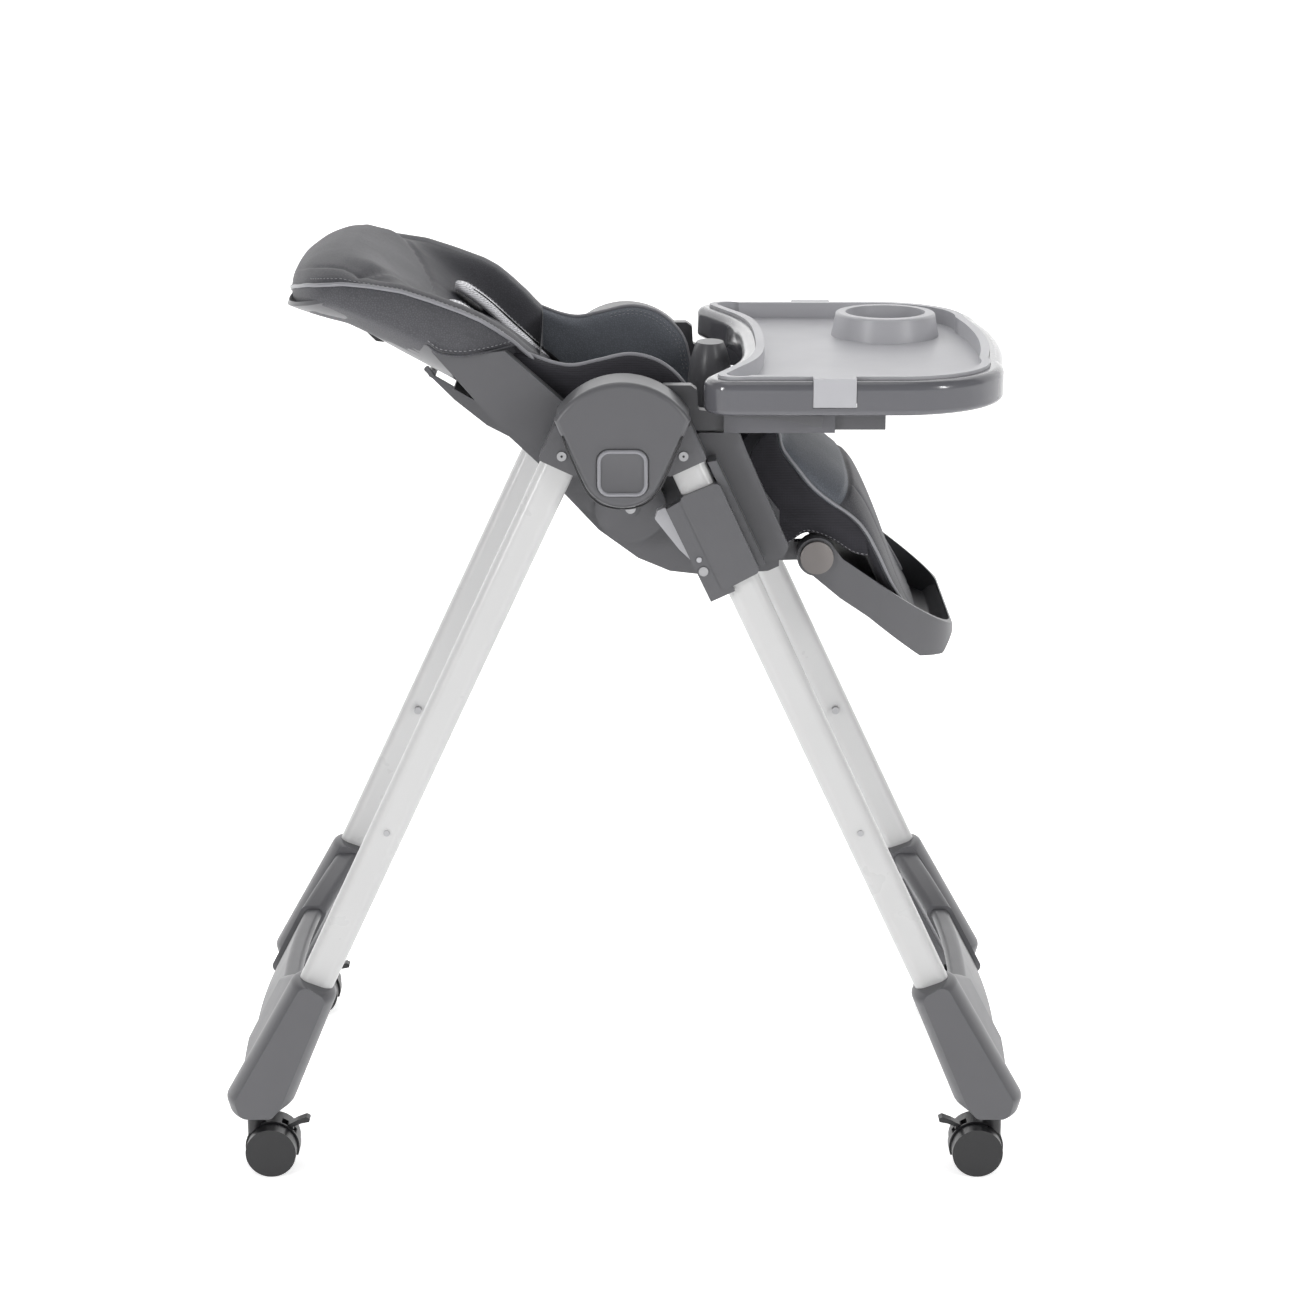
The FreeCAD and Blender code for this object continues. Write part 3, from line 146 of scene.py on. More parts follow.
def finish(name, base, roughness, build=None, **sockets):
    """A material from a Principled shader. build(tree, shader, position) adds its pattern."""
    known = bpy.data.materials.get(name)
    if known:
        return known
    material = bpy.data.materials.new(name)
    material.use_nodes = True
    tree = material.node_tree
    shader = tree.nodes["Principled BSDF"]
    shader.inputs["Base Color"].default_value = (*base, 1)
    shader.inputs["Roughness"].default_value = roughness
    for socket, value in sockets.items():
        shader.inputs[socket.replace("_", " ")].default_value = value
    position = add(tree, "ShaderNodeTexCoord").outputs["Object"]
    if build:
        build(tree, shader, position)
    return material


def shades(tree, factor, base, dark, light):
    """Two shades of a colour mixed by a factor."""
    mix = add(tree, "ShaderNodeMix", {"data_type": "RGBA"}, {"Factor": factor})
    mix.inputs[6].default_value = (*[c * dark for c in base], 1)
    mix.inputs[7].default_value = (*[min(1, c * light) for c in base], 1)
    return mix.outputs[2]


def bump(tree, shader, height, strength, distance, normal=None):
    """A bump of the shader's surface by a height."""
    inputs = {"Height": height, "Strength": strength, "Distance": distance}
    if normal:
        inputs["Normal"] = normal
    node = add(tree, "ShaderNodeBump", None, inputs)
    tree.links.new(node.outputs["Normal"], shader.inputs["Normal"])
    return node.outputs["Normal"]


def spread(tree, value, low, high):
    """A factor from 0 to 1 stretched to a range."""
    node = add(tree, "ShaderNodeMapRange", None, {"Value": value, "To Min": low, "To Max": high})
    return node.outputs["Result"]


def clouds(tree, position, width, detail=3.0, roughness=0.5):
    """Soft noise whose features are a width across."""
    settings = {"Vector": position, "Scale": 1 / width, "Detail": detail, "Roughness": roughness}
    return add(tree, "ShaderNodeTexNoise", None, settings).outputs["Fac"]


def moulded(base, shine):
    """Pattern of a moulded plastic: spark-eroded texture, faint flow marks and handling wear."""
    def build(tree, shader, position):
        flow = clouds(tree, position, 0.09)
        tree.links.new(shades(tree, flow, base, 0.93, 1.07), shader.inputs["Base Color"])
        rubbed = clouds(tree, position, 0.03, 4.0)
        tree.links.new(spread(tree, rubbed, shine - 0.05, shine + 0.06), shader.inputs["Roughness"])
        grit = clouds(tree, position, sizes().texture, 2.0)
        bump(tree, shader, grit, 0.10, 0.0002)
    return build


def polypropylene():
    """Spark-eroded polypropylene of the frame: a satin, slightly mottled grey."""
    return finish("polypropylene_satin", colours().plastic, 0.36, moulded(colours().plastic, 0.36),
                  IOR=1.49, Coat_Weight=0.05, Coat_Roughness=0.3)


def gloss_abs():
    """Polished ABS of the tray rim: clear reflections over a mid grey."""
    return finish("abs_polished", colours().gloss, 0.16, moulded(colours().gloss, 0.17),
                  IOR=1.53, Coat_Weight=0.35, Coat_Roughness=0.08)


def pale_polypropylene():
    """Pale polypropylene of the insert, the clips and the height levers: satin and a little soft."""
    return finish("polypropylene_pale", colours().pale, 0.38, moulded(colours().pale, 0.38), IOR=1.49)


def button_painted_highlight():
    """Painted highlight round the folding buttons: a pale ring of the piping grey that stands in for the
    light caught by their polished bevel.
    """
    return finish("abs_painted_highlight", colours().piping, 0.22, moulded(colours().piping, 0.22), IOR=1.53)


def taupe_polypropylene():
    """Warm grey polypropylene of the leg rest's buttons."""
    return finish("polypropylene_taupe", colours().taupe, 0.4, moulded(colours().taupe, 0.4), IOR=1.49)


def nylon():
    """Glass-filled nylon of the casters: near black and satin."""
    return finish("nylon_black", colours().nylon, 0.34, moulded(colours().nylon, 0.34), IOR=1.53)


def powder_coat():
    """Powder coat of the steel tubes: pale grey with the fine orange peel of baked paint."""
    base = colours().tube

    def build(tree, shader, position):
        mottle = shades(tree, clouds(tree, position, 0.12), base, 0.97, 1.03)
        tree.links.new(mottle, shader.inputs["Base Color"])
        tree.links.new(spread(tree, clouds(tree, position, 0.04), 0.24, 0.34), shader.inputs["Roughness"])
        bump(tree, shader, clouds(tree, position, 0.0025, 1.0), 0.08, 0.0003)
    return finish("powder_coat_pale", base, 0.3, build, Coat_Weight=0.25, Coat_Roughness=0.12)


def zinc():
    """Zinc-plated steel of the screws and rivets."""
    base = colours().steel

    def build(tree, shader, position):
        mottle = shades(tree, clouds(tree, position, 0.004), base, 0.85, 1.1)
        tree.links.new(mottle, shader.inputs["Base Color"])
        tree.links.new(spread(tree, clouds(tree, position, 0.002), 0.25, 0.42), shader.inputs["Roughness"])
    return finish("steel_zinc_plated", base, 0.32, build, Metallic=1.0)


def leather(name="leather_synthetic", base=None):
    """Synthetic leather of the pads: a pebbled grain with fine creases, satin where it is stretched."""
    base = base or colours().leather

    def build(tree, shader, position):
        warp = clouds(tree, position, 0.012, 2.0)
        bent = add(tree, "ShaderNodeVectorMath", {"operation": "MULTIPLY_ADD"},
                   {0: warp, 1: (0.003, 0.003, 0.003), 2: position}).outputs["Vector"]
        cells = add(tree, "ShaderNodeTexVoronoi", {"feature": "DISTANCE_TO_EDGE"},
                    {"Vector": bent, "Scale": 1 / sizes().grain, "Randomness": 0.9}).outputs["Distance"]
        pebbles = add(tree, "ShaderNodeMapRange", {"interpolation_type": "SMOOTHSTEP"},
                      {"Value": cells, "From Max": 0.28}).outputs["Result"]
        tree.links.new(shades(tree, pebbles, base, 0.80, 1.05), shader.inputs["Base Color"])
        tree.links.new(spread(tree, clouds(tree, position, 0.05), 0.46, 0.60), shader.inputs["Roughness"])
        grain = bump(tree, shader, pebbles, 0.22, 0.0004)
        bump(tree, shader, clouds(tree, position, 0.03, 4.0), 0.18, 0.004, grain)
    return finish(name, base, 0.46, build, IOR=1.5, Specular_IOR_Level=0.22, Sheen_Weight=0.02,
                  Sheen_Roughness=0.5)


def recess_shade_leather():
    """The same leather darkened as painted shade, where the child lies in the recess."""
    return leather("leather_shaded_recess", colours().recess)


def wing_painted_light_leather():
    """The same leather made lighter and bluish as painted light, on the wings and the front panel."""
    return leather("leather_lit_wing", colours().wing)


def woven(name, base, width):
    """A plain weave: warp and weft threads that pass over and under each other."""
    def build(tree, shader, position):
        bands = []
        for direction in ("X", "Y", "Z"):
            wave = add(tree, "ShaderNodeTexWave", {"wave_type": "BANDS", "bands_direction": direction},
                       {"Vector": position, "Scale": 0.314 / width, "Distortion": 0.6, "Detail": 1.0,
                        "Detail Scale": 2.0})
            bands.append(wave.outputs["Fac"])
        pair = add(tree, "ShaderNodeMath", {"operation": "MULTIPLY"}, {0: bands[0], 1: bands[1]}).outputs[0]
        height = add(tree, "ShaderNodeMath", {"operation": "MAXIMUM"}, {0: pair, 1: bands[2]}).outputs[0]
        tree.links.new(shades(tree, height, base, 0.6, 1.25), shader.inputs["Base Color"])
        fine = bump(tree, shader, height, 0.4, width * 0.3)
        bump(tree, shader, clouds(tree, position, 0.02, 3.0), 0.15, 0.004, fine)
    return finish(name, base, 0.85, build, Sheen_Weight=0.25, Sheen_Roughness=0.4)


def lining():
    """Polyester lining on the pads' sides and backs: near black, dull, with a visible weave."""
    return woven("polyester_lining", colours().lining, sizes().weave)


def webbing():
    """Polypropylene webbing of the harness."""
    return woven("webbing_black", colours().webbing, sizes().weave)


def sleeve_cloth():
    """Brushed polyester of the shoulder pads."""
    return woven("polyester_brushed", colours().sleeve, sizes().weave)


def vinyl_piping():
    """Vinyl welt cord along the edges: smooth, and paler than the leather."""
    return finish("vinyl_piping", colours().piping, 0.35, moulded(colours().piping, 0.33), IOR=1.5)


def thread():
    """Bonded polyester thread of the top stitching."""
    return finish("thread_polyester", colours().thread, 0.6, moulded(colours().thread, 0.6))


# ---- helpers for pieces ----

def dress(obj, material):
    """Give a CAD part one material, in every slot it has."""
    if obj.data.users > 1:
        raise RuntimeError(obj.name + " shares its mesh")
    if not obj.material_slots:
        obj.data.materials.append(material)
    for slot in obj.material_slots:
        slot.material = material


def settle(bm, name, body, materials, smooth=True, recalc=True):
    """Turn a bmesh into a piece that rides on a body."""
    if recalc:
        bmesh.ops.recalc_face_normals(bm, faces=bm.faces)
    mesh = bpy.data.meshes.new(name)
    bm.to_mesh(mesh)
    bm.free()
    for polygon in mesh.polygons:
        polygon.use_smooth = smooth
    obj = bpy.data.objects.new(name, mesh)
    bpy.context.scene.collection.objects.link(obj)
    for material in materials:
        mesh.materials.append(material)
    if body:
        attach(obj, body)
    return obj


# ---- shapes of the sewn pieces ----

def level(x, table):
    """A value read off a short table of (x, value) pairs, straight between them."""
    if x <= table[0][0]:
        return table[0][1]
    for (x0, v0), (x1, v1) in zip(table, table[1:]):
        if x <= x1:
            return v0 + (v1 - v0) * (x - x0) / (x1 - x0)
    return table[-1][1]


def ease(t):
    """A smooth step from 0 to 1."""
    t = min(1.0, max(0.0, t))
    return t * t * (3 - 2 * t)


def groove(distance, width):
    """Depth, from 0 to 1, of a sewn channel at a distance from its middle."""
    return math.exp(-(distance / width) ** 2)


def curve_through(points, step, closed=False):
    """Points about a step apart along a Catmull-Rom curve through the given ones."""
    points = [Vector(p) for p in points]
    count = len(points)
    dense = []
    for i in range(count if closed else count - 1):
        if closed:
            a, b, c, d = (points[(i + k) % count] for k in (-1, 0, 1, 2))
        else:
            a, b, c, d = (points[min(count - 1, max(0, i + k))] for k in (-1, 0, 1, 2))
        for k in range(12):
            t = k / 12
            dense.append(0.5 * ((2 * b) + (c - a) * t + (2 * a - 5 * b + 4 * c - d) * t * t
                                + (3 * b - 3 * c + d - a) * t ** 3))
    dense.append(points[0] if closed else points[-1])
    lengths = [0.0]
    for p, q in zip(dense, dense[1:]):
        lengths.append(lengths[-1] + (q - p).length)
    pieces = max(2, round(lengths[-1] / step))
    out, at = [], 0
    for k in range(pieces + (0 if closed else 1)):
        want = lengths[-1] * k / pieces
        while at < len(lengths) - 2 and lengths[at + 1] < want:
            at += 1
        span = lengths[at + 1] - lengths[at] or 1.0
        out.append(dense[at].lerp(dense[at + 1], (want - lengths[at]) / span))
    return out


def both_ways(*widths):
    """Distances across, from the right edge over 0 to the left one."""
    return [-w for w in reversed(widths[1:])] + list(widths)


def add_rows(bm, rows, pick=None, around=False, caps=False):
    """Faces between rows of points; pick(row, column) gives a face's material."""
    grid = [[bm.verts.new(Vector(p) * MM) for p in row] for row in rows]
    across = len(rows[0])
    for i in range(len(grid) - 1):
        for j in range(across if around else across - 1):
            k = (j + 1) % across
            face = bm.faces.new((grid[i][j], grid[i][k], grid[i + 1][k], grid[i + 1][j]))
            face.material_index = pick(i, j) if pick else 0
    if caps:
        for row, end in ((grid[0], 0), (grid[-1], len(grid) - 2)):
            middle = bm.verts.new(sum((v.co for v in row), Vector()) / across)
            for j in range(across):
                face = bm.faces.new((row[j], row[(j + 1) % across], middle))
                face.material_index = pick(end, j) if pick else 0
    return grid


def add_tube(bm, points, radius, material=0, sides=8, flat=1.0, closed=False):
    """A round or flattened tube along points, closed at its ends."""
    points = [Vector(p) for p in points]
    rings, normal = [], None
    count = len(points)
    for i, p in enumerate(points):
        ahead = points[(i + 1) % count] if closed or i < count - 1 else p
        behind = points[i - 1] if closed or i else p
        along = (ahead - behind).normalized()
        if normal is None:
            normal = along.orthogonal()
        normal = (normal - along * normal.dot(along)).normalized()
        side = along.cross(normal)
        small = 1.0 if closed or 0 < i < count - 1 else 0.6
        rings.append([p + (normal * math.cos(a) * flat + side * math.sin(a)) * radius * small
                      for a in (2 * math.pi * k / sides for k in range(sides))])
    if closed:
        rings.append(rings[0])
    add_rows(bm, rings, lambda i, j: material, around=True, caps=not closed)


def add_stitches(bm, points, material):
    """A row of stitches: short threads along a line."""
    gap = 0.225
    line = curve_through(points, sizes().stitch / MM)
    for p, q in zip(line, line[1:]):
        add_tube(bm, [p.lerp(q, gap), p.lerp(q, 0.5), p.lerp(q, 1 - gap)], THREAD_RADIUS, material, sides=5)


def soft_finish(bm, name, body, materials, replaces=()):
    bmesh.ops.remove_doubles(bm, verts=bm.verts, dist=WELD)
    obj = settle(bm, name, body, materials)
    levels = sizes().smoothness
    if levels:
        smooth = obj.modifiers.new("smooth", "SUBSURF")
        smooth.levels = smooth.render_levels = levels
    if replaces:
        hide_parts(*replaces)
    return obj


# ---- the back cushion; lengths from here on are in millimetres ----

BACK_END = -327.0
BACK_ROUND = -262.0
BACK_HALF = 176.0
BACK_WAIST = 28.0
SIDE_EDGE = 168
PILLOW_EDGE = 150
PIPE_LEVEL = [(-327, 853), (-324, 862), (-316, 869), (-300, 877), (-281, 881), (-264, 883), (-240, 881),
              (-208, 876), (-180, 867), (-150, 856), (-134, 848), (-120, 838), (-104, 825), (-94, 815),
              (-84, 806)]
MIDDLE_LEVEL = [(-327, 853), (-324, 874), (-316, 888), (-300, 899), (-281, 905), (-264, 904), (-240, 892),
                (-208, 866), (-180, 843), (-150, 820), (-134, 806), (-120, 792), (-96, 769), (-84, 759)]
HEM_LEVEL = [(-192, 829), (-184, 825), (-175, 817.5), (-166, 815), (-153, 814), (-141, 815), (-120, 817.5),
             (-102, 821)]
REAR_LEVELS = [
    (0, [(-327, 851), (-303, 842), (-263, 830), (-224, 807), (-194, 790), (-160, 766), (-96, 724)]),
    (135, [(-327, 860), (-296, 850), (-262, 840), (-224, 822), (-194, 806), (-164, 792), (-96, 760)]),
    (SIDE_EDGE, [(-327, 866), (-282, 864), (-250, 852), (-220, 840), (-190, 826), (-160, 812), (-96, 772)]),
]


def back_half(x):
    """Half the back cushion's width at its piping."""
    if x < BACK_ROUND:
        return BACK_HALF * math.sqrt(max(0.0, 1 - ((x - BACK_ROUND) / (BACK_END - BACK_ROUND)) ** 2))
    return BACK_HALF - BACK_WAIST * ease((x + 150) / 66)


def back_rear(x, y):
    """Height of the back shell's underside."""
    (_, t0), (y1, t1), (y2, t2) = REAR_LEVELS
    y = min(abs(y), y2)
    if y < y1:
        return level(x, t0) + (level(x, t1) - level(x, t0)) * (y / y1) ** 1.5
    return level(x, t1) + (level(x, t2) - level(x, t1)) * (y - y1) / (y2 - y1)


def pillow_seam(y):
    """x of the curved seam between the head end and the recess."""
    return -192 - 57 * (min(abs(y), PILLOW_EDGE) / PILLOW_EDGE) ** 2


def back_top(x, y):
    """Height of the back cushion's upper face, dished between its rims and raised under the head."""
    half = back_half(x)
    inside = max(0.0, half - abs(y))
    pipe, middle = level(x, PIPE_LEVEL), level(x, MIDDLE_LEVEL)
    share = min(1.0, inside / max(half, 1.0))
    dome = pipe + (middle - pipe) * math.sqrt(max(0.0, 1 - (1 - share) ** 2.5))
    rim = pipe + 5 * math.sin(min(1.0, inside / 16) * math.pi / 2) - 3 * ease((inside - 16) / 14)
    dished = middle + 7 * (min(abs(y), 110) / 110) ** 2
    recess = rim + (dished - rim) * ease((inside - 26) / 40)
    head = ease((-215 - x) / 60)
    z = dome * head + recess * (1 - head)
    z -= 3.6 * groove(x - pillow_seam(y), 3.4) * ease((inside - 8) / 16)
    z -= 1.8 * groove(inside - 27, 2.6) * ease((-225 - x) / 30) * ease((x + 322) / 8)
    for seam in (-45.0, 45.0):
        z -= 1.6 * groove(y - seam * (1 + (x + 200) / 700), 3.2) * ease((x + 205) / 25)
    return z


def back_ring(x):
    """One section of the back cushion, from under its middle round its near rim, over it and back."""
    half = back_half(x)
    ratio = max(half, 2.0) / BACK_HALF
    pipe = level(x, PIPE_LEVEL)
    hemmed = ease((x + 190) / 8)
    side = []
    for y, drop in ((0, 6), (30, 6), (48, 6), (60, -2.5), (90, -2.5), (120, -2.5), (142, -2.5), (158, -2.0)):
        side.append((y * ratio, min(back_rear(x, y * ratio) + drop + 14 * hemmed, pipe - 1)))
    low = min(back_rear(x, SIDE_EDGE * ratio) + 1.0, pipe - 1.0)
    low += (min(level(x, HEM_LEVEL), pipe - 2.0) - low) * hemmed
    for share, swell in ((0.0, -4.0), (0.12, 0.0), (0.35, 2.6), (0.6, 3.2), (0.85, 1.6), (0.97, 0.2)):
        side.append((half + swell * ratio, low + (pipe - low) * share))
    upper = []
    for inside in (1.5, 4, 8, 13, 18, 23, 25.5, 28, 30.5, 35, 42, 50, 58, 66, 76, 88, 100, 112, 124, 131,
                   138, 150, 163, 176):
        y = half - inside * ratio
        upper.append((y, back_top(x, y)))
    ring = side + upper
    return [Vector((x, y, z)) for y, z in ring] + [Vector((x, -y, z)) for y, z in reversed(ring[1:-1])]


class HIGHCHAIR_OT_back(bpy.types.Operator):
    """Sew the back cushion with its raised head end, its rims, piping and side panels"""
    bl_idname = "high_chair.back"
    bl_label = "Back cushion"

    def execute(self, context):
        bm = bmesh.new()
        spacing = 2.6
        foot = -87
        stations = [BACK_END + d for d in (0.15, 0.6, 1.4, 3, 5, 8, 11, 15, 19, 24, 29, 35, 41, 48, 55)]
        while stations[-1] < foot:
            stations.append(stations[-1] + spacing)
        rings = [back_ring(x) for x in stations]
        count = len(rings[0])
        lower = 3
        side = 14

        def cover(i, j):
            """Lining under the middle, leather darkened as painted shade in the recess, and leather
            elsewhere.
            """
            if j < lower or j >= count - lower:
                return LINING
            p = rings[i][j]
            inside = back_half(p.x) - abs(p.y)
            upper = p.z > level(p.x, PIPE_LEVEL) or side <= j <= count - side
            return PANEL if upper and inside > 24 and p.x > pillow_seam(p.y) else LEATHER
        add_rows(bm, rings, cover, around=True, caps=True)

        line = []
        for sign, order in ((-1, reversed(stations)), (1, stations)):
            for x in order:
                line.append((x, sign * (back_half(x) + 1.2), level(x, PIPE_LEVEL) + 0.6))
        add_tube(bm, curve_through(line, 4.0), sizes().piping / MM, PIPING)

        for sign in (-1, 1):
            for shift in (0.0, 4.5):
                hem = [(x, sign * (back_half(x) + 1.6 + shift * 0.2), level(x, HEM_LEVEL) + 1.5 + shift)
                       for x in (-184, -175, -166, -153, -141, -130, -120, -111, -102)]
                if shift:
                    add_stitches(bm, hem, THREAD)
                else:
                    add_tube(bm, curve_through(hem, 5.0), 1.3, LEATHER)
            above = [(x, sign * (back_half(x) - 4.0), back_top(x, back_half(x) - 4.0) + 0.2)
                     for x in range(-296, -104, 8)]
            add_stitches(bm, above, THREAD)
        # PANEL here is the leather darkened as painted shade of the recess.
        materials = [leather(), lining(), vinyl_piping(), thread(), recess_shade_leather()]
        soft_finish(bm, "back_cushion", "backrest", materials, replaces=["backrest_pad"])

        low = bmesh.new()
        half, seam = 127, 43
        outward = Vector((0.62, 0, 0.78))
        front = curve_through([(-150, 0, 822), (-125, 0, 806), (-80, 0, 768), (-45, 0, 732),
                               (-24, 0, 706)], 5.0)
        rear = ((-38, 703), (-52, 712), (-82, 738), (-122, 768), (-150, 788))
        sections = []
        for y in both_ways(0, 14, 28, 40, 43, 46, 62, 80, 96, 110, 120, 125.5, 127):
            edge = math.sqrt(max(0.0, 1 - (abs(y) / half) ** 8))
            crown = 7.0 * (1 - (abs(y) / half) ** 2) + 1.0
            channel = 1.8 * groove(abs(y) - seam, 2.6)
            upper = []
            for i, p in enumerate(front):
                share = i / (len(front) - 1)
                swell = 0.0
                if 0 < share < 0.87:
                    swell = crown * math.sin(math.pi * min(1, share * 1.15)) ** 0.5 - channel
                upper.append(Vector((p.x, y, p.z)) + outward * (swell - 14 * (1 - edge)))
            sections.append(upper + [Vector((x, y, z)) for x, z in rear])
        add_rows(low, sections, around=True, caps=True)
        # The lower back cushion takes the leather darkened as painted shade.
        soft_finish(low, "back_cushion_lower", "backrest", [recess_shade_leather()])
        return {"FINISHED"}


# ---- the side wings ----

WING_TOP = [(-122, 806), (-106, 815), (-90, 811), (-68, 803), (-48, 800), (-24, 805), (5, 811), (30, 806),
            (49, 793), (62, 775), (68, 750), (76, 732)]
WING_FOOT = [(100, 712), (60, 700), (10, 694), (-30, 700), (-58, 722), (-88, 764), (-112, 800)]
WING_REAR_SEAM = [(-50, 792), (-58, 768), (-66, 744), (-70, 728)]
WING_FRONT_SEAM = [(-30, 786), (-20, 762), (-8, 744)]
WING_MIDDLE = 137.5
WING_CENTRE = Vector((-8, 752))


def wing_lean(z):
    """How far a wing leans outwards at a height."""
    return 8.0 * ease((z - 740) / 80)


def wing_point(edge, share, sign, inner):
    """A point of a wing's inner or outer face, from its edge (share 0) to its centre (share 1)."""
    at = edge.lerp(WING_CENTRE, share)
    swell = math.sqrt(max(0.0, 1 - (1 - min(1, share / 0.28)) ** 2))
    y = WING_MIDDLE + wing_lean(at.y) + (-10.5 if inner else 9.0) * swell
    return Vector((at.x, sign * y, at.y))


class HIGHCHAIR_OT_wings(bpy.types.Operator):
    """Sew the two side wings between the seat and the back, with piping and a double row of stitches"""
    bl_idname = "high_chair.wings"
    bl_label = "Side wings"

    def execute(self, context):
        ring = curve_through([(x, 0, z) for x, z in WING_TOP + WING_FOOT], 5.0, closed=True)
        outline = [p.xz for p in ring]
        shares = (0.0, 0.012, 0.03, 0.06, 0.1, 0.14, 0.16, 0.18, 0.22, 0.3, 0.4, 0.52, 0.66, 0.8, 0.93)
        seam_face = WING_MIDDLE - 8.9
        for sign, side in SIDES:
            bm = bmesh.new()
            inner = [[wing_point(e, q, sign, True) for e in outline] for q in shares]
            outer = [[wing_point(e, q, sign, False) for e in outline] for q in shares]
            add_rows(bm, list(reversed(inner)) + outer[1:],
                     lambda i, j: LINING if i >= len(shares) - 1 else LEATHER, around=True, caps=True)
            top = [(x, sign * (WING_MIDDLE + wing_lean(z)), z + 0.8) for x, z in WING_TOP]
            add_tube(bm, curve_through(top, 4.0), sizes().piping / MM, PIPING)
            for run in (WING_REAR_SEAM, WING_FRONT_SEAM):
                seam = [(x, sign * (seam_face + wing_lean(z)), z) for x, z in run]
                add_tube(bm, curve_through(seam, 4.0), 1.6, PANEL)
            for share in (0.055, 0.10):
                row = [wing_point(e, share, sign, True) - Vector((0, sign * 0.3, 0))
                       for e in outline if e.x > -20 and e.y > 742]
                row.sort(key=lambda p: math.atan2(p.z - WING_CENTRE.y, p.x - WING_CENTRE.x))
                add_stitches(bm, row, THREAD)
            # The wings' faces take the leather lightened as painted light.
            materials = [wing_painted_light_leather(), lining(), vinyl_piping(), thread(), leather()]
            wing = soft_finish(bm, "wing_" + side, None, materials, replaces=["seat_wing_" + side])
            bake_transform(wing)
        return {"FINISHED"}


# ---- the seat and the front cushion ----

APRON_EDGE = [(139, 738), (148, 736), (152, 719), (167, 699), (182, 681), (199, 667), (219, 653),
              (233, 638), (246, 614), (262, 580), (278, 556), (292, 532)]
APRON_MIDDLE = [(139, 740), (150, 743), (162, 728), (184, 708), (206, 691), (224, 677), (231, 670),
                (238, 659), (248, 638), (258, 614), (267, 590), (280, 558), (296, 530)]
APRON_HALF = [(0, 138), (0.25, 145), (0.55, 144), (0.72, 138), (1, 124)]
APRON_SEAM = 0.40
GUSSET_FOOT = [(122, 716), (118, 690), (122, 664), (134, 636), (150, 624), (163, 627), (176, 637),
               (200, 630), (222, 616), (238, 612)]


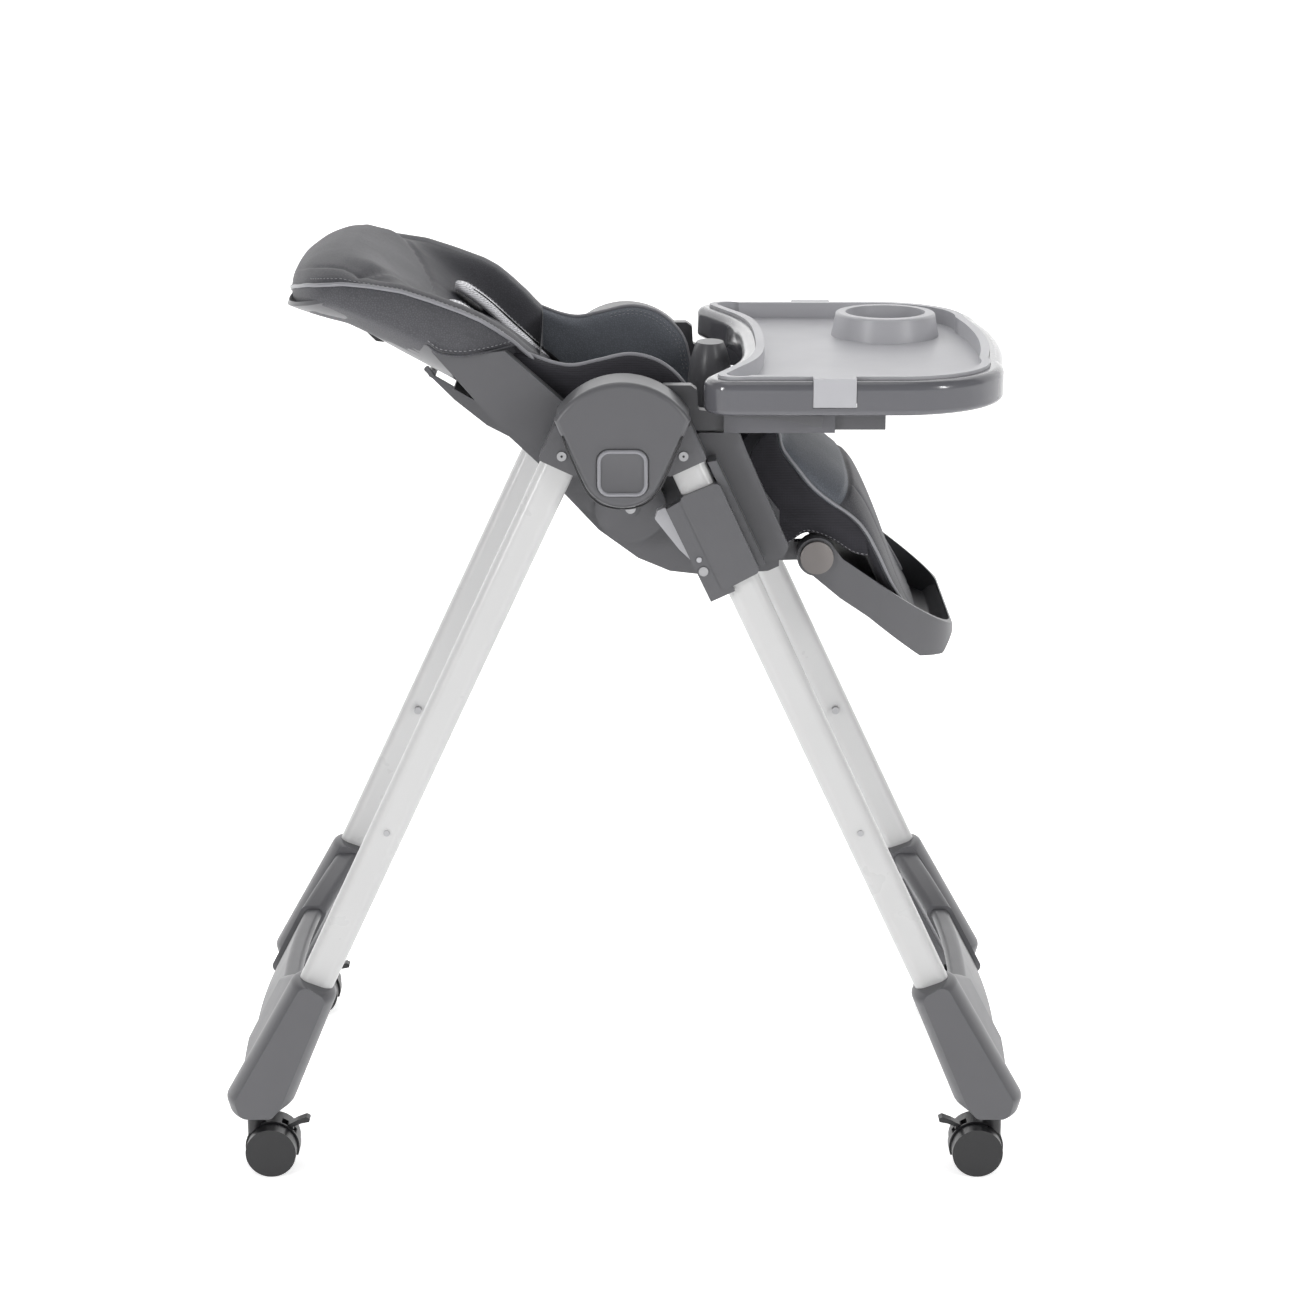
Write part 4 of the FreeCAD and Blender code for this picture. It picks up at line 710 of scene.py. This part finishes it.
class HIGHCHAIR_OT_seat(bpy.types.Operator):
    """Sew the seat cushion and the front cushion that bends down onto the leg rest"""
    bl_idname = "high_chair.seat"
    bl_label = "Seat and leg rest cushions"

    def execute(self, context):
        self.sew_seat()
        edge = curve_through([(x, 0, z) for x, z in APRON_EDGE], 2.6)
        self.sew_front(edge)
        for sign, side in SIDES:
            self.sew_gusset(edge, sign, side)
        return {"FINISHED"}

    def sew_seat(self):
        """The cushion in the seat shell, with two channels along it and two across."""
        bm = bmesh.new()
        half, seam = 120, 41
        top = curve_through([(-44, 0, 690), (-20, 0, 668), (10, 0, 656), (60, 0, 652), (108, 0, 664),
                             (132, 0, 688), (140, 0, 722)], 6.0)
        bottom = ((136, 690), (134, 630), (110, 608), (80, 605), (46, 609), (16, 622), (-20, 648),
                  (-44, 677))
        rows = []
        for y in both_ways(0, 10, 24, 38, 41, 44, 58, 74, 90, 104, 114, 119, 120):
            edge = math.sqrt(max(0.0, 1 - (abs(y) / half) ** 8))
            channel = 2.0 * groove(abs(y) - seam, 2.6)
            upper = []
            for i, p in enumerate(top):
                arch = math.sin(math.pi * i / (len(top) - 1))
                cross = 1.6 * groove(p.x - 20, 3.0) + 1.6 * groove(p.x - 100, 3.0)
                lift = 5 * arch ** 0.5 - channel * arch - cross - 12 * (1 - edge)
                upper.append(Vector((p.x, y, p.z + lift)))
            rows.append(upper + [Vector((x, y, z)) for x, z in bottom])
        add_rows(bm, rows, around=True, caps=True)
        # The seat cushion takes the leather darkened as painted shade of the recess.
        soft_finish(bm, "seat_cushion", "seat", [recess_shade_leather()], replaces=["seat_pad"])

    def sew_front(self, edge):
        """The cushion from the seat's front edge down the leg rest, with one seam across and two along."""
        bm = bmesh.new()
        count = len(edge)
        dense = curve_through([(x, 0, z) for x, z in APRON_MIDDLE], 1.0)
        middle = [dense[round(k * (len(dense) - 1) / (count - 1))] for k in range(count)]
        half = [level(k / (count - 1), APRON_HALF) for k in range(count)]
        side_seam = 0.62
        across = both_ways(0.0, 0.15, 0.3, 0.46, 0.56, 0.60, 0.62, 0.64, 0.68, 0.74, 0.82, 0.9, 0.95,
                           0.985, 1.0)
        rows = []
        for k in range(count):
            share = k / (count - 1)
            along = (edge[min(count - 1, k + 1)] - edge[max(0, k - 1)]).normalized()
            inward = Vector((along.z, 0, -along.x))
            inward = -inward if inward.x > 0 else inward
            face = []
            for a in across:
                bulge = math.sqrt(max(0.0, 1 - abs(a) ** 3.2))
                dip = 3.4 * groove(share - APRON_SEAM, 0.011) * bulge
                dip += 2.6 * groove(abs(a) - side_seam, 0.02) * ease((share - APRON_SEAM) / 0.04)
                p = edge[k].lerp(middle[k], bulge) + inward * dip
                face.append(Vector((p.x, a * half[k], p.z)))
            thick = 13.0 if share < 0.93 else 8.0
            back = []
            for a in (0.97, 0.7, 0.35, 0.0, -0.35, -0.7, -0.97):
                p = edge[k].lerp(middle[k], 0.3 * (1 - a * a)) + inward * thick
                back.append(Vector((p.x, a * half[k], p.z)))
            rows.append(face + back)

        def cover(i, j):
            """Leather lightened as painted light above the seam, grey leather below it and lining behind."""
            if j >= len(across) - 1:
                return LINING
            return PANEL if i < round(APRON_SEAM * count) else LEATHER
        add_rows(bm, rows, cover, around=True, caps=True)
        for sign in (-1, 1):
            line = [(e.x + 1.0, sign * (h + 0.5), e.z + 1.0) for e, h in zip(edge, half)]
            add_tube(bm, curve_through(line, 5.0), sizes().piping * 0.75 / MM, PIPING)
        # PANEL here is the leather lightened as painted light.
        materials = [leather(), lining(), vinyl_piping(), thread(), wing_painted_light_leather()]
        front = soft_finish(bm, "front_cushion", None, materials, replaces=["leg_rest_pad"])
        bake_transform(front)

    def sew_gusset(self, edge, sign, side):
        """A loose side panel between the front cushion's edge and the seat shell."""
        bm = bmesh.new()
        face, thick, columns, cells = 143.0, 3.0, 22, 8
        rim = curve_through([(e.x - 1.0, 0, e.z - 1.0) for e in edge if e.z > 632], 1.0)
        foot = curve_through(curve_through([(x, 0, z) for x, z in GUSSET_FOOT], 4.0), 1.0)
        rows = []
        for k in range(columns + 1):
            a = rim[round(k * (len(rim) - 1) / columns)]
            b = foot[round(k * (len(foot) - 1) / columns)]
            row = []
            for j in range(cells + 1):
                t = j / cells
                p = a.lerp(b, t)
                ripple = 2.4 * noise.noise(Vector((p.x * 0.035, p.z * 0.05, sign))) * math.sin(math.pi * t)
                row.append(Vector((p.x, sign * (face - 2 * t + ripple), p.z)))
            row += [Vector((p.x, p.y - sign * thick, p.z)) for p in reversed(row)]
            rows.append(row)
        add_rows(bm, rows, around=True, caps=True)
        add_stitches(bm, [(b.x, sign * (face + 1.2), b.z + 2.5) for b in foot if b.x > 150], 1)
        panel = soft_finish(bm, "front_side_panel_" + side, None, [lining(), thread()])
        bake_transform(panel)


# ---- the harness ----

class HIGHCHAIR_OT_harness(bpy.types.Operator):
    """Sew the shoulder pads and the shoulder straps that run down to the buckle"""
    bl_idname = "high_chair.harness"
    bl_label = "Harness"

    def execute(self, context):
        for sign, side in SIDES:
            y = sign * 61.0
            self.sew_pad(y, side)
            self.sew_strap(y, side)
        return {"FINISHED"}

    def sew_pad(self, y, side):
        """A flat padded sleeve with a row of stitches along each edge."""
        bm = bmesh.new()
        half_wide, half_thick, facets = 20.0, 5.0, 20
        outward = Vector((0.6, 0, 0.75))
        line = curve_through([(-172, 0, 846), (-162, 0, 843), (-140, 0, 827), (-118, 0, 806), (-96, 0, 786),
                              (-78, 0, 768)], 4.0)
        rows = []
        for i, p in enumerate(line):
            share = i / (len(line) - 1)
            along = (line[min(len(line) - 1, i + 1)] - line[max(0, i - 1)]).normalized()
            out = Vector((-along.z, 0, along.x))
            wide = half_wide * math.sqrt(max(0.05, 1 - (2 * share - 1) ** 12))
            ring = []
            for k in range(facets):
                a = 2 * math.pi * k / facets
                c, s = math.cos(a), math.sin(a)
                flat = math.copysign(abs(c) ** 0.6, c)
                ring.append(p + Vector((0, y + flat * wide, 0)) + out * (s * half_thick))
            rows.append(ring)
        add_rows(bm, rows, around=True, caps=True)
        for shift in (-17.0, 17.0):
            add_stitches(bm, [p + Vector((0, y + shift, 0)) + outward * 4.4 for p in line[2:-2]], 1)
        soft_finish(bm, "shoulder_pad_" + side, "backrest", [sleeve_cloth(), thread()])

    def sew_strap(self, y, side):
        """A flat webbing strap from under the sleeve to the buckle."""
        bm = bmesh.new()
        run = curve_through([(-160, y, 841), (-140, y, 827), (-96, y, 787), (-60, y * 0.95, 756),
                             (-30, y * 0.8, 718), (4, y * 0.5, 688), (26, y * 0.36, 677)], 5.0)
        add_tube(bm, run, 9.5, 0, sides=12, flat=0.12)
        strap = settle(bm, "shoulder_strap_" + side, None, [webbing()])
        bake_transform(strap)
        if side == "right":
            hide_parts("shoulder_straps")


# ---- the hard parts ----

class HIGHCHAIR_OT_hard_parts(bpy.types.Operator):
    """Give the frame's moulded, painted and plated parts their finishes"""
    bl_idname = "high_chair.hard_parts"
    bl_label = "Finish hard parts"

    def execute(self, context):
        kinds = {
            "leg_paint": powder_coat, "steel": zinc, "caster_black": nylon, "upholstery": leather,
            "webbing": webbing, "webbing_pad": sleeve_cloth, "tray_light": pale_polypropylene,
            "tray_rim": gloss_abs, "lever_light": pale_polypropylene, "button_taupe": taupe_polypropylene,
            "black_plastic": nylon, "frame_grey": polypropylene,
        }
        for part in frame["record"]["subparts"]:
            dress(NODES[part["node"]], kinds[part["material_slot"]]())
        return {"FINISHED"}


SCREW_X = 57.0
SCREW_Z = 729.0
SCREW_FACE = 225.6
COVER_FACE = 243.0
COVER_GROOVE = [(56, 752), (52, 741), (46, 727), (40, 713), (36, 704), (30, 695), (20, 687), (8, 683.6),
                (0, 683.2)]
BUTTON_Z = 717
BUTTON_FACE = 244.2


class HIGHCHAIR_OT_trim(bpy.types.Operator):
    """Make painted shade in the screw sockets and along the grooves of the hub covers, and painted highlight
    rings on the folding buttons
    """
    bl_idname = "high_chair.trim"
    bl_label = "Fine trim"

    def execute(self, context):
        for sign, side in SIDES:
            for body, x in (("front_frame", SCREW_X), ("rear_frame", -SCREW_X)):
                # Painted shade: a dark hexagon on each screw head where its socket lies in shade.
                bm = bmesh.new()
                ends = [(x, sign * (SCREW_FACE + depth), SCREW_Z) for depth in (-0.4, 0.25)]
                add_tube(bm, ends, 2.1, sides=6)
                settle(bm, "screw_shade_disc_%s_%s" % (body, side), body, [nylon()], smooth=False)

            # Painted shade: dark tubes along the V grooves of the hub covers, where the grooves lie in
            # shade.
            bm = bmesh.new()
            for turn in (-1, 1):
                line = [(turn * x, sign * COVER_FACE, z) for x, z in COVER_GROOVE]
                add_tube(bm, curve_through(line, 3.0), 1.0)
            settle(bm, "hub_shade_line_" + side, "front_frame", [nylon()])

            # Painted highlight: a pale ring where the button's bevel catches the light.
            bm = bmesh.new()
            add_tube(bm, self.button_outline(sign), 1.9, closed=True)
            settle(bm, "button_highlight_ring_" + side, "fold_button_" + side, [button_painted_highlight()])
        return {"FINISHED"}

    def button_outline(self, sign):
        """The rounded square just inside a folding button's edge."""
        corner, inset, half_x, half_z = 12.0, 2.2, 24.0, 22.5
        ring = []
        for right, up, start in ((1, 1, 0), (-1, 1, 90), (-1, -1, 180), (1, -1, 270)):
            for k in range(7):
                a = math.radians(start + 15 * k)
                ring.append((right * (half_x - corner) + (corner - inset) * math.cos(a), sign * BUTTON_FACE,
                             BUTTON_Z + up * (half_z - corner) + (corner - inset) * math.sin(a)))
        return ring


# ---- the stage ----

class HIGHCHAIR_OT_stage(bpy.types.Operator):
    """Lay the studio floor and set the lights and the camera"""
    bl_idname = "high_chair.stage"
    bl_label = "Set the stage"

    def execute(self, context):
        self.lay_floor()
        self.light(context.scene)
        self.aim(context.scene)
        return {"FINISHED"}

    def lay_floor(self):
        """A paper sweep: a floor that curves up into a wall behind the chair. Lengths are in metres."""
        near, bend, radius, height, half_wide = -20.0, 1.6, 0.9, 6.0, 12.0
        sweep = [(near, 0.0), (bend, 0.0)]
        for k in range(1, 13):
            a = math.pi * k / 24
            sweep.append((bend + radius * math.sin(a), radius - radius * math.cos(a)))
        sweep.append((bend + radius, height))
        bm = bmesh.new()
        add_rows(bm, [[Vector((x, y, z)) / MM for y, z in sweep] for x in (-half_wide, half_wide)])
        base = colours().floor

        def build(tree, shader, position):
            mottle = shades(tree, clouds(tree, position, 0.8), base, 0.995, 1.0)
            tree.links.new(mottle, shader.inputs["Base Color"])
        paper = finish("studio_paper", base, 0.75, build, Emission_Color=(1, 1, 1, 1),
                       Emission_Strength=0.62)
        settle(bm, "studio_floor", None, [paper], recalc=False)

    def light(self, scene):
        """A pale world and four soft lamps: each has its place, target, width, height and watts."""
        world = bpy.data.worlds.new("studio")
        world.use_nodes = True
        background = world.node_tree.nodes["Background"]
        background.inputs["Color"].default_value = (1, 1, 1, 1)
        background.inputs["Strength"].default_value = 0.25
        scene.world = world
        for name, place, target, across, high, watts in (
                ("overhead", (-0.2, -0.2, 3.2), (0, 0, 0.5), 1.6, 1.6, 9),
                ("left_strip", (-2.3, -2.6, 1.5), (0, 0, 0.7), 0.35, 1.5, 36),
                ("right_strip", (2.6, -2.2, 1.7), (0.2, 0, 0.7), 0.35, 1.3, 30),
                ("rear_wash", (0.0, 1.6, 3.2), (0, 1.5, 0.0), 4.0, 1.2, 12)):
            light = bpy.data.lights.new(name, "AREA")
            light.shape = "RECTANGLE"
            light.size = across
            light.size_y = high
            light.energy = watts
            lamp = bpy.data.objects.new(name, light)
            lamp.location = place
            lamp.rotation_euler = (Vector(target) - Vector(place)).to_track_quat("-Z", "Y").to_euler()
            scene.collection.objects.link(lamp)

    def aim(self, scene):
        """The camera, 3 m away and half a metre above the tray, looking a little down."""
        camera = bpy.data.objects.new("camera", bpy.data.cameras.new("camera"))
        camera.data.lens = 85.0
        camera.data.sensor_width = 36.0
        camera.location = (0.0256, -3.037, 1.320)
        camera.rotation_euler = (math.radians(74.524), 0, 0)
        scene.collection.objects.link(camera)
        scene.camera = camera
        scene.view_settings.view_transform = "Standard"


# ---- panel and registration ----

class HIGHCHAIR_PT_panel(bpy.types.Panel):
    """High chair tools in the 3D view's sidebar"""
    bl_idname = "HIGHCHAIR_PT_panel"
    bl_label = "High Chair"
    bl_space_type = "VIEW_3D"
    bl_region_type = "UI"
    bl_category = "High Chair"

    def draw(self, context):
        for operator in OPERATORS:
            self.layout.operator(operator.bl_idname)
        for group in (context.scene.high_chair_colours, context.scene.high_chair_sizes):
            for name in group.__annotations__:
                self.layout.prop(group, name)


OPERATORS = [HIGHCHAIR_OT_hard_parts, HIGHCHAIR_OT_back, HIGHCHAIR_OT_wings, HIGHCHAIR_OT_seat,
             HIGHCHAIR_OT_harness, HIGHCHAIR_OT_trim, HIGHCHAIR_OT_stage]
CLASSES = [HighChairColours, HighChairSizes, *OPERATORS, HIGHCHAIR_PT_panel]


def register():
    for cls in CLASSES:
        bpy.utils.register_class(cls)
    bpy.types.Scene.high_chair_colours = PointerProperty(type=HighChairColours)
    bpy.types.Scene.high_chair_sizes = PointerProperty(type=HighChairSizes)


def unregister():
    del bpy.types.Scene.high_chair_colours
    del bpy.types.Scene.high_chair_sizes
    for cls in reversed(CLASSES):
        bpy.utils.unregister_class(cls)


def main():
    """Register the tools, then make every piece."""
    register()
    for operator in OPERATORS:
        group, name = operator.bl_idname.split(".")
        getattr(getattr(bpy.ops, group), name)()


if __name__ == "__main__":
    main()
